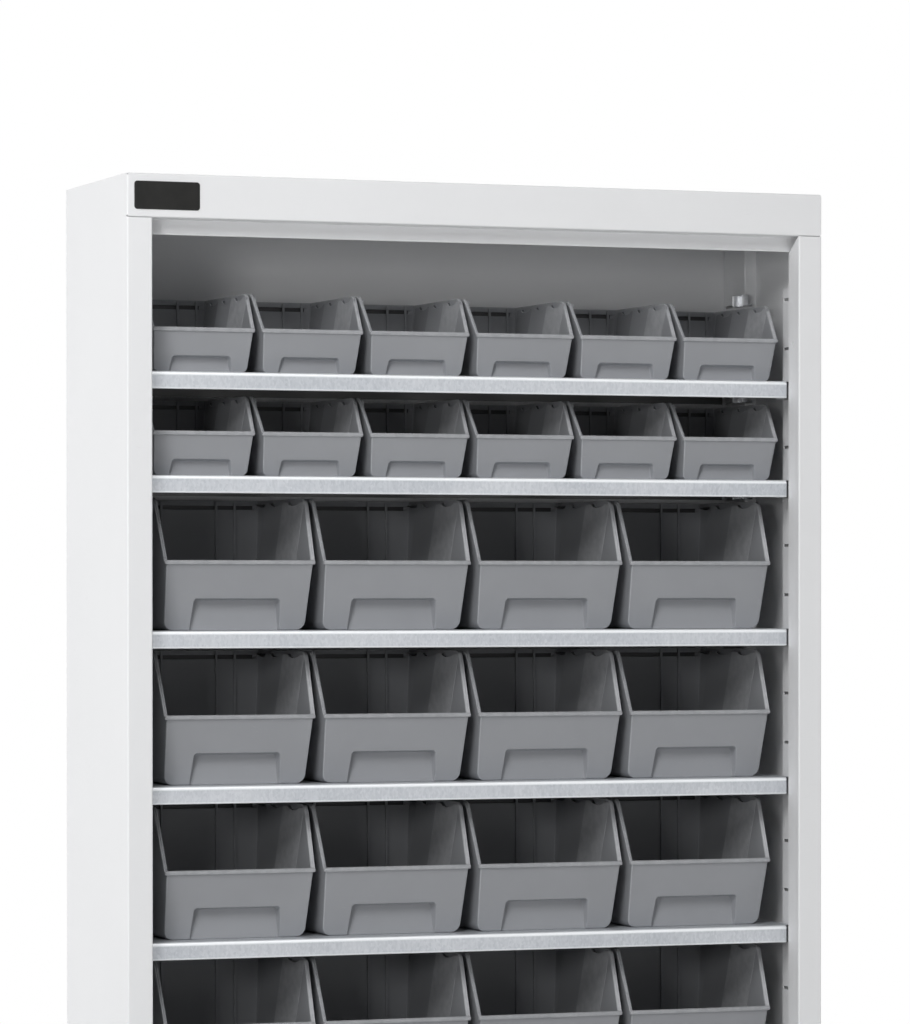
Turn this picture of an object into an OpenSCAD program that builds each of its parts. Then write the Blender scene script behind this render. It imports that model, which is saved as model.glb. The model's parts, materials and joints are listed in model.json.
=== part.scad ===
// Open-fronted parts bin cabinet: a folded steel carcass, slotted uprights, zinc-coated
// shelves hung on clips, and rows of open-front picking bins that slide out.
// Millimetres. +Z up, the open front faces -Y, the origin is the centre of the footprint.

/* [Cabinet] */
// Overall width across the side panels
width = 723; // [640:1:900]
// Overall depth, badge plate to the rivet heads on the back
depth = 225; // [223:1:320]
// Height of the deck that the lowest row of bins stands on
base_h = 113.2; // [70:0.2:180]
// From the top shelf's surface up to the top of the cabinet
top_space = 186.8; // [170:0.2:260]
// Thickness of the carcass sheet
sheet = 1; // [0.8:0.1:1.5]
// Bend radius of the sheet, on its middle line
bend_r = 1.2; // [1:0.1:3]
// Width of each front stile
stile_w = 25; // [22:0.5:28]
// Depth of the stile's inward return
stile_return = 26; // [18:0.5:27]
// Width of the flanges turned in at the back, the floor and the top
flange_w = 18; // [14:0.5:24]
// Width of the seams between neighbouring sheets
seam = 0.3; // [0.2:0.1:0.8]

/* [Header] */
// Height of the header's front face
header_h = 42; // [34:0.5:60]
// Height of the lip turned down behind the header
header_lip = 14.5; // [10:0.5:20]
// How far the header's and base's ends wrap round the corner
corner_wrap = 4; // [3:0.5:10]

/* [Uprights] */
// Spacing of the slots along the uprights
slot_pitch = 50; // [49:0.5:60]
// Length of a slot
slot_w = 20; // [18:0.5:22]
// Height of a slot
slot_h = 3; // [2.6:0.1:4]
// From a shelf's surface down to the middle of its slot
slot_drop = 15.7; // [14.2:0.1:17]
// How far an upright stands proud of the outer face of its side panel
rail_depth = 14; // [10:0.5:18]
// Width of a front upright
front_rail_w = 28; // [26:0.5:34]
// From the cabinet's front face back to a front upright
front_rail_y = 39; // [36:0.5:50]
// Width of a rear upright, which has two columns of slots
rear_rail_w = 55; // [52:0.5:62]
// Spacing of the two columns of slots
column_gap = 26; // [24:0.5:28]
// Length of the front uprights above the top slot
rail_over = 11.5; // [6:0.5:20]
// Bend radius of the uprights' sheet, on its middle line
rail_bend = 1; // [0.8:0.1:2]

/* [Shelves] */
// Thickness of the shelf sheet
shelf_sheet = 1; // [0.7:0.1:1.5]
// Height of the shelf's front lip
lip_h = 17.2; // [15:0.2:20]
// Radius of the bend along the top of the lip
lip_r = 3; // [2:0.1:4]
// From the cabinet's front face back to the lip
lip_y = 28; // [27.5:0.5:34]
// Gap between the lip's ends and the stile returns
lip_gap = 1; // [0.5:0.1:3]
// Gap between the shelf's ends and the uprights
shelf_gap = 1; // [0.5:0.1:2]
// How far the wide part of the shelf starts behind the lip
shelf_shoulder = 6; // [5:0.5:10]
// Height of the edges turned down at the shelf's ends, which rest on the clips
shelf_end_h = 5.4; // [4:0.2:8]
// Length of a shelf clip
clip_w = 26; // [22:0.5:27]
// How far a clip stands out from its upright
clip_out = 8; // [5:0.5:12]
// Thickness of the clip sheet
clip_sheet = 1.5; // [1:0.1:2]
// Width of the clip's tongue
tongue_w = 16; // [10:0.5:17]
// Depth of the tongue behind the upright's face
tongue_in = 6; // [4:0.5:8]

/* [Bin rows] */
// Rows of small bins, from the top
small_rows = 2; // [1:1:3]
// Rows of medium bins, under the small ones
medium_rows = 4; // [1:1:5]
// Slots from one shelf to the next under a row of small bins
small_slots = 2; // [2:1:4]
// Slots from one shelf to the next under a row of medium bins
medium_slots = 3; // [3:1:5]
// Small bins in a row
small_per_row = 6; // [2:1:6]
// Medium bins in a row
medium_per_row = 4; // [2:1:4]
// From each upright to the end of a row of small bins
small_room = 16.7; // [6:0.1:30]
// From each upright to the end of a row of medium bins
medium_room = 26.8; // [6:0.1:40]
// Gap between the rims of neighbouring small bins
small_gap = 1.3; // [0.8:0.1:6]
// Gap between the rims of neighbouring medium bins
medium_gap = 2.6; // [0.8:0.1:8]
// How far the small bins stand to the right of the cabinet's middle
small_shift = 2; // [-4:0.5:4]
// How far the medium bins stand to the right of the cabinet's middle
medium_shift = 4; // [-4:0.5:4]
// From the cabinet's front face back to the bins' rims
bin_setback = 36; // [34:0.5:38]
// Clearance under a bin
bin_clear = 0.2; // [0.1:0.05:0.4]

/* [Small bins] */
// Length over the rim
small_l = 166; // [120:0.5:180]
// Overall height
small_h = 78.2; // [65:0.2:79.8]
// Height of the front rim
small_front_h = 42.8; // [37:0.2:48]
// Length over which the side rims rise to full height
small_rise = 31.5; // [24:0.5:38]
// How far the front wall leans back at its foot
small_lean = 13; // [8:0.5:16]
// Radius along the foot of the side walls
small_foot_r = 6; // [4:0.5:7]
// Width of the finger recess at its top
small_recess_w = 56; // [40:0.5:66]
// Height of the finger recess
small_recess_h = 15; // [11:0.5:20]
// Width of the front two raised pads on each side wall
small_pad_w = 41; // [28:0.5:43]
// Width of the rearmost pad
small_last_pad_w = 21; // [12:0.5:26]

/* [Medium bins] */
// Length over the rim
medium_l = 183; // [150:0.5:183]
// Overall height
medium_h = 128.8; // [110:0.2:129.8]
// Height of the front rim
medium_front_h = 68; // [58:0.5:76]
// Length over which the side rims rise to full height
medium_rise = 34; // [26:0.5:44]
// How far the front wall leans back at its foot
medium_lean = 20; // [12:0.5:24]
// Radius along the foot of the side walls
medium_foot_r = 9; // [6:0.5:10]
// Width of the finger recess at its top
medium_recess_w = 85; // [60:0.5:95]
// Height of the finger recess
medium_recess_h = 30; // [20:0.5:37]
// Width of the front two raised pads on each side wall
medium_pad_w = 50; // [34:0.5:51]
// Width of the rearmost pad
medium_last_pad_w = 20; // [12:0.5:22]

/* [Bin walls] */
// Thickness of the walls and the floor
bin_wall = 2; // [1.5:0.1:2.5]
// Overhang of the rim past the walls
rim_over = 2.2; // [1.8:0.1:3]
// Height of the rim's flange
rim_h = 4; // [3:0.1:5]
// Height of the narrower band under the flange
under_rim_h = 2.4; // [1.5:0.1:3]
// Height of the wall's bead above the flange
rim_bead = 0.8; // [0.4:0.1:1.2]
// Radius of the side rim's upper corner
rim_r = 12; // [8:0.5:16]
// How far each side wall draws in at the floor
side_taper = 5.6; // [3:0.1:7]
// How far each side wall draws in from front to back
plan_taper = 1.5; // [1:0.5:5]
// How far the back wall draws in at the floor
back_taper = 3; // [1:0.5:5]
// Depth of the finger recess behind the foot of the front wall
recess_in = 3; // [1.5:0.1:5]
// How far each side of the recess flares out at its foot
recess_flare = 4; // [2:0.5:6]
// Radius of the recess's upper corners
recess_r = 3; // [1.5:0.1:4]
// Height of the raised pads above the wall
pad_t = 1.8; // [1:0.1:2]
// Gap between pads, where a divider would slide in
pad_gap = 5; // [4:0.5:8]
// From the top of the rim's rise back to the first pad
pad_lead = 1; // [0.5:0.5:4]
// From the rim down to the tops of the pads
pad_drop = 5; // [4.5:0.5:10]
// Radius of the thumb notch in a pad's top edge
notch_r = 5; // [3:0.5:7]
// Width of a rib on the back wall
rib_w = 2.4; // [1:0.1:3]
// Distance of the outer ribs from the back corners
rib_edge = 12; // [9:0.5:16]
// Spacing from the outer rib to the inner one
rib_step = 18; // [12:0.5:20]
// Height of the hanging slot through the back wall
hang_h = 4.5; // [3:0.5:6]
// From the rim down to the hanging slot
hang_drop = 9; // [8:0.5:14]
// From the side walls to the ends of the hanging slot
hang_in = 5; // [4:0.5:10]

/* [Badge] */
// Width of the blank badge plate
badge_w = 65; // [40:0.5:80]
// Height of the badge plate
badge_h = 27; // [16:0.5:30]
// Thickness of the badge plate
badge_t = 1; // [0.8:0.1:2]
// Radius of the badge's corners
badge_r = 3; // [1:0.1:5]
// From the cabinet's left side to the badge
badge_x = 7; // [5:0.5:20]

/* [Fixings] */
// Diameter of a rivet's shank
rivet_d = 4; // [3:0.1:5]
// Diameter of a rivet's head
rivet_head_d = 8; // [7:0.1:9]
// Thickness of a rivet's head
rivet_head_t = 1; // [0.8:0.1:1.4]
// Clearance round a rivet's shank
rivet_clear = 0.1; // [0.05:0.01:0.2]
// Rivets up each side of the back panel
rivets_up = 5; // [3:1:8]
// Rivets along the top of the back panel
rivets_across = 4; // [2:1:6]

/* [Hidden] */
$fn = 48;
foot_fn = 24;
eps = 0.01;
arc_steps = 6;
cut = 5;
// Half a sheet, for the middle line of a folded section
half = sheet / 2;
// The carcass's front face lies behind the badge plate's thickness
front = -depth / 2 + badge_t;
left = -width / 2;
// The side and top flanges end here, and the rivet heads fill the rest of the depth
back = depth / 2 - rivet_head_t;
back_panel_y = back - 2 * sheet;

rows = small_rows + medium_rows;
// Slots between the deck and the surface of row r, counted from the top row
function row_slots(r) =
    (rows - 1 - max(r, small_rows)) * medium_slots
    + (r < small_rows ? medium_slots + (small_rows - 1 - r) * small_slots : 0);
function surface_z(r) = base_h + row_slots(r) * slot_pitch;
function slot_z(i) = base_h - slot_drop + i * slot_pitch;
height = surface_z(0) + top_space;
// Slots carry on for two more shelves' clips above the top shelf
top_slot = row_slots(0) + 2;
front_rail_top = slot_z(top_slot) + rail_over;
stile_top = height - header_h - seam;
stile_foot = base_h + seam;
face_top = height - header_h;
// The rear uprights end level with the header's lower edge
rear_rail_top = face_top;
return_y = front + stile_return;
header_lip_y = return_y - sheet;

// Upright and clip positions, for the left side and mirrored for the right
rail_x = left + rail_depth;
front_slot_y = front + front_rail_y + front_rail_w / 2;
rear_rail_end = back_panel_y - sheet;
rear_rail_y = rear_rail_end - rear_rail_w;
rear_slot_y = rear_rail_y + (rear_rail_w + column_gap) / 2;
rear_clip_y = rear_slot_y - column_gap;

shelf_w = width - 2 * (rail_depth + shelf_gap);
lip_w = width - 2 * (stile_w + lip_gap);
shelf_back = back_panel_y - sheet;
// The tongue fills the slot's height but for this clearance
tongue_clear = 0.3;
tongue_t = slot_h - 2 * tongue_clear;

// Bins share out the width between the uprights
row_space = width - 2 * rail_depth;
small_pitch = (row_space - 2 * small_room + small_gap) / small_per_row;
medium_pitch = (row_space - 2 * medium_room + medium_gap) / medium_per_row;
small_w = small_pitch - small_gap;
medium_w = medium_pitch - medium_gap;

flange_mid = flange_w / 2;
rivet_z0 = flange_w + rivet_head_d;

// A bin's sizes: width, length, height, front height, rise, lean, foot radius, recess width,
// recess height, pad width, rearmost pad's width
small = [small_w, small_l, small_h, small_front_h, small_rise, small_lean, small_foot_r,
    small_recess_w, small_recess_h, small_pad_w, small_last_pad_w];
medium = [medium_w, medium_l, medium_h, medium_front_h, medium_rise, medium_lean, medium_foot_r,
    medium_recess_w, medium_recess_h, medium_pad_w, medium_last_pad_w];

function bin_w(b) = b[0];
function bin_l(b) = b[1];
function bin_h(b) = b[2];
function front_h(b) = b[3];
function rise(b) = b[4];
function lean(b) = b[5];
function foot_r(b) = b[6];
function recess_w(b) = b[7];
function recess_h(b) = b[8];
function pad_w(b) = b[9];
function last_pad_w(b) = b[10];

function is_small(r) = r < small_rows;
function row_bin(r) = is_small(r) ? small : medium;
function per_row(r) = is_small(r) ? small_per_row : medium_per_row;
function row_pitch(r) = is_small(r) ? small_pitch : medium_pitch;
function row_shift(r) = is_small(r) ? small_shift : medium_shift;
function bin_name(r, c) = str(is_small(r) ? "small" : "medium", "_bin_", r + 1, "_", c + 1);
function bin_x(r, c) = (c - (per_row(r) - 1) / 2) * row_pitch(r) + row_shift(r);
function shelf_name(r) = str("shelf_", r + 1);
function clips_name(r) = str("shelf_clips_", r + 1);

// ---- Folded sheet ----

function heading(a, b) = [sign(b[0] - a[0]), sign(b[1] - a[1])];

// A folded sheet's section: straight runs along the axes joined by quarter bends of radius r
module folded(points, t, r) {
    last = len(points) - 1;
    for (i = [0:last - 1]) {
        d = heading(points[i], points[i + 1]);
        a = points[i] + (i > 0 ? r : 0) * d;
        b = points[i + 1] - (i < last - 1 ? r : 0) * d;
        side = [abs(d[1]), abs(d[0])] * t / 2;
        low = [min(a[0], b[0]), min(a[1], b[1])] - side;
        high = [max(a[0], b[0]), max(a[1], b[1])] + side;
        translate(low) square(high - low);
    }
    for (i = [1:1:last - 1]) {
        into = heading(points[i - 1], points[i]);
        out = heading(points[i], points[i + 1]);
        corner = into - out;
        reach = r + t;
        translate(points[i] - r * corner) intersection() {
            difference() {
                circle(r + t / 2);
                circle(r - t / 2);
            }
            translate([min(0, corner[0]), min(0, corner[1])] * reach) square(reach);
        }
    }
}

// A section drawn in Y and Z, run along X from x0 to x1
module run_x(x0, x1) {
    translate([x0, 0, 0]) rotate([90, 0, 90]) linear_extrude(x1 - x0) children();
}

module mirrored(right) {
    if (right) mirror([1, 0, 0]) children();
    else children();
}

// ---- Carcass ----

// Places of the rivets up one side, as heights
function rivet_zs() =
    [for (i = [0:rivets_up - 1]) rivet_z0 + i * (height - 2 * rivet_z0) / (rivets_up - 1)];
// Places of the rivets along the top, as X
function rivet_xs() =
    [for (i = [1:rivets_across]) left + i * width / (rivets_across + 1)];

module rivet_places() {
    for (z = rivet_zs(), s = [-1, 1]) translate([s * (width / 2 - flange_mid), back, z]) children();
    for (x = rivet_xs()) translate([x, back, height - flange_mid]) children();
}

module rivet_holes() {
    rivet_places() rotate([90, 0, 0])
        cylinder(d = rivet_d + 2 * rivet_clear, h = 2 * cut, center = true);
}

module side_panel() {
    color("whitesmoke") difference() {
        union() {
            translate([0, 0, stile_foot]) linear_extrude(stile_top - stile_foot)
                folded([[left + stile_w - half, return_y], [left + stile_w - half, front + half],
                    [left + half, front + half], [left + half, back - half],
                    [left + flange_w, back - half]], sheet, bend_r);
            side_end(0, stile_foot);
            side_end(stile_top, height - stile_top);
            // The flange that stands on the floor
            translate([left, front + corner_wrap + seam, 0])
                cube([flange_w, back - front - corner_wrap - seam, sheet]);
        }
        // Corner of the return, cut back to clear the header's lip
        translate([left + stile_w / 2, 0, 0]) rotate([90, 0, 90]) linear_extrude(stile_w)
            polygon([[front + bend_r + sheet, stile_top + cut], [front + bend_r + sheet, stile_top],
                [return_y - sheet - seam, stile_top - header_lip - seam],
                [return_y + cut, stile_top - header_lip - seam], [return_y + cut, stile_top + cut]]);
        // Latch slit in the return
        translate([left + stile_w / 2, front + stile_return / 2, slot_z(top_slot - 1)])
            cube([stile_w, slot_h, slot_w / 4]);
        rivet_holes();
    }
}

// Above and below the stile the side panel is flat, behind the ends of the header and the base
module side_end(z, h) {
    translate([0, 0, z]) linear_extrude(h)
        folded([[left + half, front + corner_wrap + seam], [left + half, back - half],
            [left + flange_w, back - half]], sheet, bend_r);
}

module side_panel_left() { side_panel(); }

module side_panel_right() { mirrored(true) side_panel(); }

// The ends of a front face, wrapped round the corners of the cabinet
module wrapped_face(z, h) {
    translate([0, 0, z]) linear_extrude(h)
        folded([[left + half, front + corner_wrap], [left + half, front + half],
            [-left - half, front + half], [-left - half, front + corner_wrap]], sheet, bend_r);
}

module header_panel() {
    inner = -left - sheet - seam;
    top = height - half;
    low = face_top + half;
    color("whitesmoke") difference() {
        union() {
            wrapped_face(face_top + bend_r + half, header_h - 2 * bend_r - sheet);
            run_x(-inner, inner)
                folded([[header_lip_y + half, face_top - header_lip], [header_lip_y + half, low],
                    [front + half, low], [front + half, top],
                    [back - sheet - half, top]], sheet, bend_r);
            // The flange that the back panel is riveted to
            run_x(left + flange_w + seam, -left - flange_w - seam)
                folded([[back - sheet - half - bend_r, top], [back - half, top],
                    [back - half, height - flange_w]], sheet, bend_r);
        }
        rivet_holes();
    }
}

module base_panel() {
    inner = -left - sheet - seam;
    clear = -left - flange_w - seam;
    top = base_h - half;
    rear = back_panel_y - half - seam;
    color("whitesmoke") {
        wrapped_face(0, base_h - bend_r - half);
        run_x(-inner, inner)
            folded([[front + half, bend_r], [front + half, top], [rear, top],
                [rear, top - flange_w]], sheet, bend_r);
        run_x(-clear, clear)
            folded([[front + half, base_h / 2], [front + half, half],
                [front + flange_w, half]], sheet, bend_r);
    }
}

module back_panel() {
    color("gainsboro") difference() {
        translate([left + sheet + bend_r, back_panel_y, sheet + seam])
            cube([width - 2 * (sheet + bend_r), sheet, height - 2 * (sheet + seam) - bend_r]);
        translate([0, -sheet, 0]) rivet_holes();
    }
}

module back_rivets() {
    color("silver") rivet_places() {
        rotate([90, 0, 0]) translate([0, 0, -rivet_head_t]) cylinder(d = rivet_head_d, h = rivet_head_t);
        rotate([90, 0, 0]) translate([0, 0, -eps]) cylinder(d = rivet_d, h = 2 * sheet + eps);
    }
}

module badge_plate() {
    color("black") translate([left + badge_x + badge_w / 2, front, face_top + header_h / 2])
        rotate([90, 0, 0]) linear_extrude(badge_t) rounded(badge_w, badge_h, badge_r);
}

// A rectangle about the origin with round corners
module rounded(w, h, r) {
    square([w - 2 * r, h], center = true);
    square([w, h - 2 * r], center = true);
    for (x = [-1, 1], y = [-1, 1]) translate([x * (w / 2 - r), y * (h / 2 - r)]) circle(r);
}

// ---- Uprights ----

// A shallow channel on the left side panel, open to the panel, with columns of slots
module upright(y0, w, columns, top) {
    color("gainsboro") difference() {
        translate([0, 0, base_h]) linear_extrude(top - base_h)
            folded([[left + sheet, y0 + half], [rail_x - half, y0 + half],
                [rail_x - half, y0 + w - half], [left + sheet, y0 + w - half]], sheet, rail_bend);
        for (y = columns, i = [1:top_slot])
            translate([rail_x, y, slot_z(i)]) cube([2 * bend_r, slot_w, slot_h], center = true);
    }
}

module front_upright(right) {
    mirrored(right) upright(front + front_rail_y, front_rail_w, [front_slot_y], front_rail_top);
}

module rear_upright(right) {
    mirrored(right) upright(rear_rail_y, rear_rail_w, [rear_slot_y, rear_clip_y], rear_rail_top);
}

// ---- Shelves and their clips ----

module shelf(r) {
    z = surface_z(r) - shelf_sheet / 2;
    y0 = front + lip_y + shelf_sheet / 2;
    shoulder_y = front + lip_y + shelf_shoulder;
    rear_drop = lip_h - shelf_sheet / 2;
    color("lightsteelblue") {
        run_x(-lip_w / 2, lip_w / 2)
            folded([[y0, z - lip_h + shelf_sheet / 2], [y0, z], [shoulder_y + eps, z]],
                shelf_sheet, lip_r - shelf_sheet / 2);
        run_x(-shelf_w / 2, shelf_w / 2)
            folded([[shoulder_y, z], [shelf_back - shelf_sheet / 2, z],
                [shelf_back - shelf_sheet / 2, z - rear_drop]], shelf_sheet, lip_r - shelf_sheet / 2);
        for (x = [-shelf_w / 2, shelf_w / 2 - shelf_sheet])
            translate([x, shoulder_y, surface_z(r) - shelf_end_h])
                cube([shelf_sheet, shelf_back - lip_r - shoulder_y, shelf_end_h - shelf_sheet / 2]);
    }
}

// One clip against the left uprights: a web with two wings, and a tongue through the slot
module clip(y, i) {
    foot = slot_z(i) - tongue_t / 2;
    top = slot_z(i) + slot_drop - shelf_end_h;
    color("silver") {
        translate([rail_x, y - clip_w / 2, foot]) cube([clip_sheet, clip_w, top - foot]);
        for (end = [y - clip_w / 2, y + clip_w / 2 - clip_sheet])
            translate([rail_x, end, foot]) cube([clip_out, clip_sheet, top - foot]);
        translate([rail_x - tongue_in, y - tongue_w / 2, foot])
            cube([tongue_in + clip_sheet, tongue_w, tongue_t]);
    }
}

module shelf_clips(r) {
    for (right = [false, true], y = [front_slot_y, rear_clip_y])
        mirrored(right) clip(y, row_slots(r));
}

// ---- Bins ----
// A bin stands on Z = 0 with its front rim at Y = 0, centred on X.

// Slope of the side rim, in degrees
function rim_angle(b) = atan((bin_h(b) - front_h(b)) / (rise(b) - rim_over - bin_wall));

// The rim's edge in Y and Z from the front to the back, drawn in by drop
function rim_line(b, y0, y1, drop) =
    let (a = rim_angle(b), shift = drop * tan(a / 2),
        centre = [rise(b) + rim_r * tan(a / 2), bin_h(b) - rim_r])
    concat(
        [[y0, front_h(b) - drop], [rim_over + bin_wall + shift, front_h(b) - drop]],
        [for (i = [0:arc_steps])
            let (t = 90 + a * (1 - i / arc_steps)) centre + (rim_r - drop) * [cos(t), sin(t)]],
        [[y1, bin_h(b) - drop]]);

function backwards(list) = [for (i = [len(list) - 1:-1:0]) list[i]];

// Half width of the body at the rim or at the floor, at the front or the back
function half_w(b, low, rear) =
    bin_w(b) / 2 - rim_over - (low ? side_taper : 0) - (rear ? plan_taper : 0);

// Y of the front and back walls' planes at height z
function front_y(b, z) = rim_over + lean(b) * (1 - z / front_h(b));
function back_y(b, z) = bin_l(b) - rim_over - back_taper * (1 - z / bin_h(b));

// The bin's body, with its surface drawn in by skin or grown by a skin below zero: side walls
// that taper to rounded feet, cut off by the slanted front and the back
module tub(b, skin) {
    top = bin_h(b) + 1;
    r = foot_r(b);
    intersection() {
        hull() for (rear = [false, true]) {
            y = rear ? bin_l(b) : 0;
            for (side = [-1, 1])
                translate([side * (half_w(b, true, rear) - r), y, r]) rotate([90, 0, 0])
                    cylinder(r = r - skin, h = eps, $fn = foot_fn);
            translate([skin - half_w(b, false, rear), y, top])
                cube([2 * (half_w(b, false, rear) - skin), eps, eps]);
        }
        run_x(-bin_w(b), bin_w(b)) polygon([
            [front_y(b, skin) + skin, skin], [front_y(b, top) + skin, top],
            [back_y(b, top) - skin, top], [back_y(b, skin) - skin, skin]]);
    }
}

// The part of the walls that is left under the rim's edge
module under_rim_line(b) {
    run_x(-bin_w(b), bin_w(b))
        polygon(concat([[-bin_l(b), -cut]], rim_line(b, -bin_l(b), 2 * bin_l(b), 0),
            [[2 * bin_l(b), -cut]]));
}

// A band round the rim from depth a to depth c, which follows the walls and stands out by over
module rim_band(b, a, c, over) {
    y0 = -bin_l(b);
    y1 = 2 * bin_l(b);
    intersection() {
        run_x(-bin_w(b), bin_w(b))
            polygon(concat(rim_line(b, y0, y1, a), backwards(rim_line(b, y0, y1, c))));
        tub(b, -over);
    }
}

// The recess seen from the front, grown by extra, run back to y1
module recess_block(b, y1, extra) {
    half_top = recess_w(b) / 2 + extra;
    foot = half_top + recess_flare;
    top = recess_h(b) + extra;
    r = recess_r + extra;
    translate([0, y1, 0]) rotate([90, 0, 0]) linear_extrude(y1 + cut) {
        polygon([[-foot, -cut], [-foot, 0], [-half_top, top - r], [half_top, top - r],
            [foot, 0], [foot, -cut]]);
        translate([-half_top + r, 0]) square([2 * (half_top - r), top]);
        for (side = [-1, 1]) translate([side * (half_top - r), top - r]) circle(r);
    }
}

// Raised pads on one side wall, with a thumb notch in each top edge
module side_pads(b) {
    start = rise(b) + pad_lead;
    step = pad_w(b) + pad_gap;
    pads = [[start, pad_w(b)], [start + step, pad_w(b)], [start + 2 * step, last_pad_w(b)]];
    pad_h = bin_h(b) - pad_drop - foot_r(b);
    mid_z = foot_r(b) + pad_h / 2;
    tilt = atan(side_taper / bin_h(b));
    turn = atan(plan_taper / bin_l(b));
    for (pad = pads) {
        y = pad[0] + pad[1] / 2;
        x = half_w(b, false, false) - side_taper * (1 - mid_z / bin_h(b))
            - plan_taper * y / bin_l(b) - bin_wall;
        translate([x, y, mid_z]) rotate([0, tilt, turn]) difference() {
            translate([-pad_t, -pad[1] / 2, -pad_h / 2]) cube([pad_t + bin_wall / 2, pad[1], pad_h]);
            translate([-pad_t, 0, pad_h / 2 + notch_r / 2]) rotate([0, 90, 0])
                cylinder(r = notch_r, h = 2 * pad_t, center = true);
        }
    }
}

// Ribs up the inside of the back wall
module back_ribs(b) {
    tilt = atan(back_taper / bin_h(b));
    wall_y = bin_l(b) - rim_over - back_taper - bin_wall;
    reach = half_w(b, true, true) - bin_wall;
    for (x = [reach - rib_edge, reach - rib_edge - rib_step], side = [-1, 1])
        translate([side * x, wall_y, 0]) rotate([-tilt, 0, 0])
            translate([-rib_w / 2, -rib_w, bin_wall / 2])
                cube([rib_w, rib_w + bin_wall / 2, bin_h(b) - pad_drop]);
}

// Slot through the back wall, behind its ribs, for hanging the bin on a rail
module hanging_slot(b) {
    w = half_w(b, false, true) - bin_wall - hang_in;
    z = bin_h(b) - hang_drop - hang_h;
    translate([-w, back_y(b, z) - bin_wall, z]) cube([2 * w, 2 * bin_wall, hang_h]);
}

module picking_bin(b) {
    recess_y = rim_over + lean(b) + recess_in;
    difference() {
        union() {
            difference() {
                union() {
                    intersection() {
                        tub(b, 0);
                        under_rim_line(b);
                    }
                    rim_band(b, rim_bead, rim_h, rim_over);
                    rim_band(b, rim_bead, rim_h + under_rim_h, rim_over / 2);
                }
                difference() {
                    tub(b, bin_wall);
                    recess_block(b, recess_y + bin_wall, bin_wall);
                }
            }
            side_pads(b);
            mirror([1, 0, 0]) side_pads(b);
            back_ribs(b);
        }
        recess_block(b, recess_y, 0);
        hanging_slot(b);
    }
}

module placed_bin(r, c) {
    color("gray") translate([bin_x(r, c), front + bin_setback, surface_z(r) + bin_clear])
        picking_bin(row_bin(r));
}

// ---- Nodes ----

side_panel_left();
side_panel_right();
header_panel();
back_panel();
base_panel();
front_upright(false);  // front_upright_left
front_upright(true);  // front_upright_right
rear_upright(false);  // rear_upright_left
rear_upright(true);  // rear_upright_right
badge_plate();
back_rivets();
mirrored(true) clip(rear_clip_y, top_slot);  // spare_clip
for (r = [0:rows - 2]) shelf(r);
for (r = [0:rows - 2]) shelf_clips(r);
for (r = [0:rows - 1]) for (c = [0:per_row(r) - 1])
    placed_bin(r, c);
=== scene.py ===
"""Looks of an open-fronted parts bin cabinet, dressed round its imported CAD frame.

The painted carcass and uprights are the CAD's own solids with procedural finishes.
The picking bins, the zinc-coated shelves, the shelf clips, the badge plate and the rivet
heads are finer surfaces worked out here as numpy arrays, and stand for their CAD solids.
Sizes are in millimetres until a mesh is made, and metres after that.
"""

from __future__ import annotations

import json
import logging
import math
from dataclasses import dataclass, field
from enum import Enum

import bpy
import numpy as np
from mathutils import Matrix, Vector

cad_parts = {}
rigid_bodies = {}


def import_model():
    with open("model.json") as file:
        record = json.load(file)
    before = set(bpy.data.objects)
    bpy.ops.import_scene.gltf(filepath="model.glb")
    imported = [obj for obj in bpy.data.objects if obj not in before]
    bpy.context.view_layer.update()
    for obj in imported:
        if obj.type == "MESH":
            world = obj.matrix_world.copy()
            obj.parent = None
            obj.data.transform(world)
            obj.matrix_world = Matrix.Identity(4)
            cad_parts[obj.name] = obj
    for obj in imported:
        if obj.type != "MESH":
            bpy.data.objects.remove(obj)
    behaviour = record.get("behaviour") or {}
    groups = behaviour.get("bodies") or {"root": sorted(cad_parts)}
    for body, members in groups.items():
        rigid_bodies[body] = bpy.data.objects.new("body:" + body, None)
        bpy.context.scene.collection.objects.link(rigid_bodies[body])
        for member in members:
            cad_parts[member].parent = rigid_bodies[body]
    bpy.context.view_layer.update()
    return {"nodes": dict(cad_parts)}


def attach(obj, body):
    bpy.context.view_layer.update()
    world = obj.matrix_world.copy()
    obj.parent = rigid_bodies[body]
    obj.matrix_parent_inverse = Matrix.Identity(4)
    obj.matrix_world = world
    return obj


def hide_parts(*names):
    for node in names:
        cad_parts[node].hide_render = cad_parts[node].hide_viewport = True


log = logging.getLogger("parts_bin_cabinet")

MM = 0.001
IMAGE_WIDTH, IMAGE_HEIGHT = 910, 1024

Array = np.ndarray
Rgb = tuple[float, float, float]
Point = tuple[float, float, float]


class Slot(Enum):
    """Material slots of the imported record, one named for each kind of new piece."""

    ZINC_SHEET = "zinc_shelf"
    ZINC_CLIP = "zinc_clip"
    PLASTIC = "bin_plastic"
    BADGE = "badge"
    RIVET = "rivet_metal"


# ---------------------------------------------------------------------------
# Shader graphs


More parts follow.
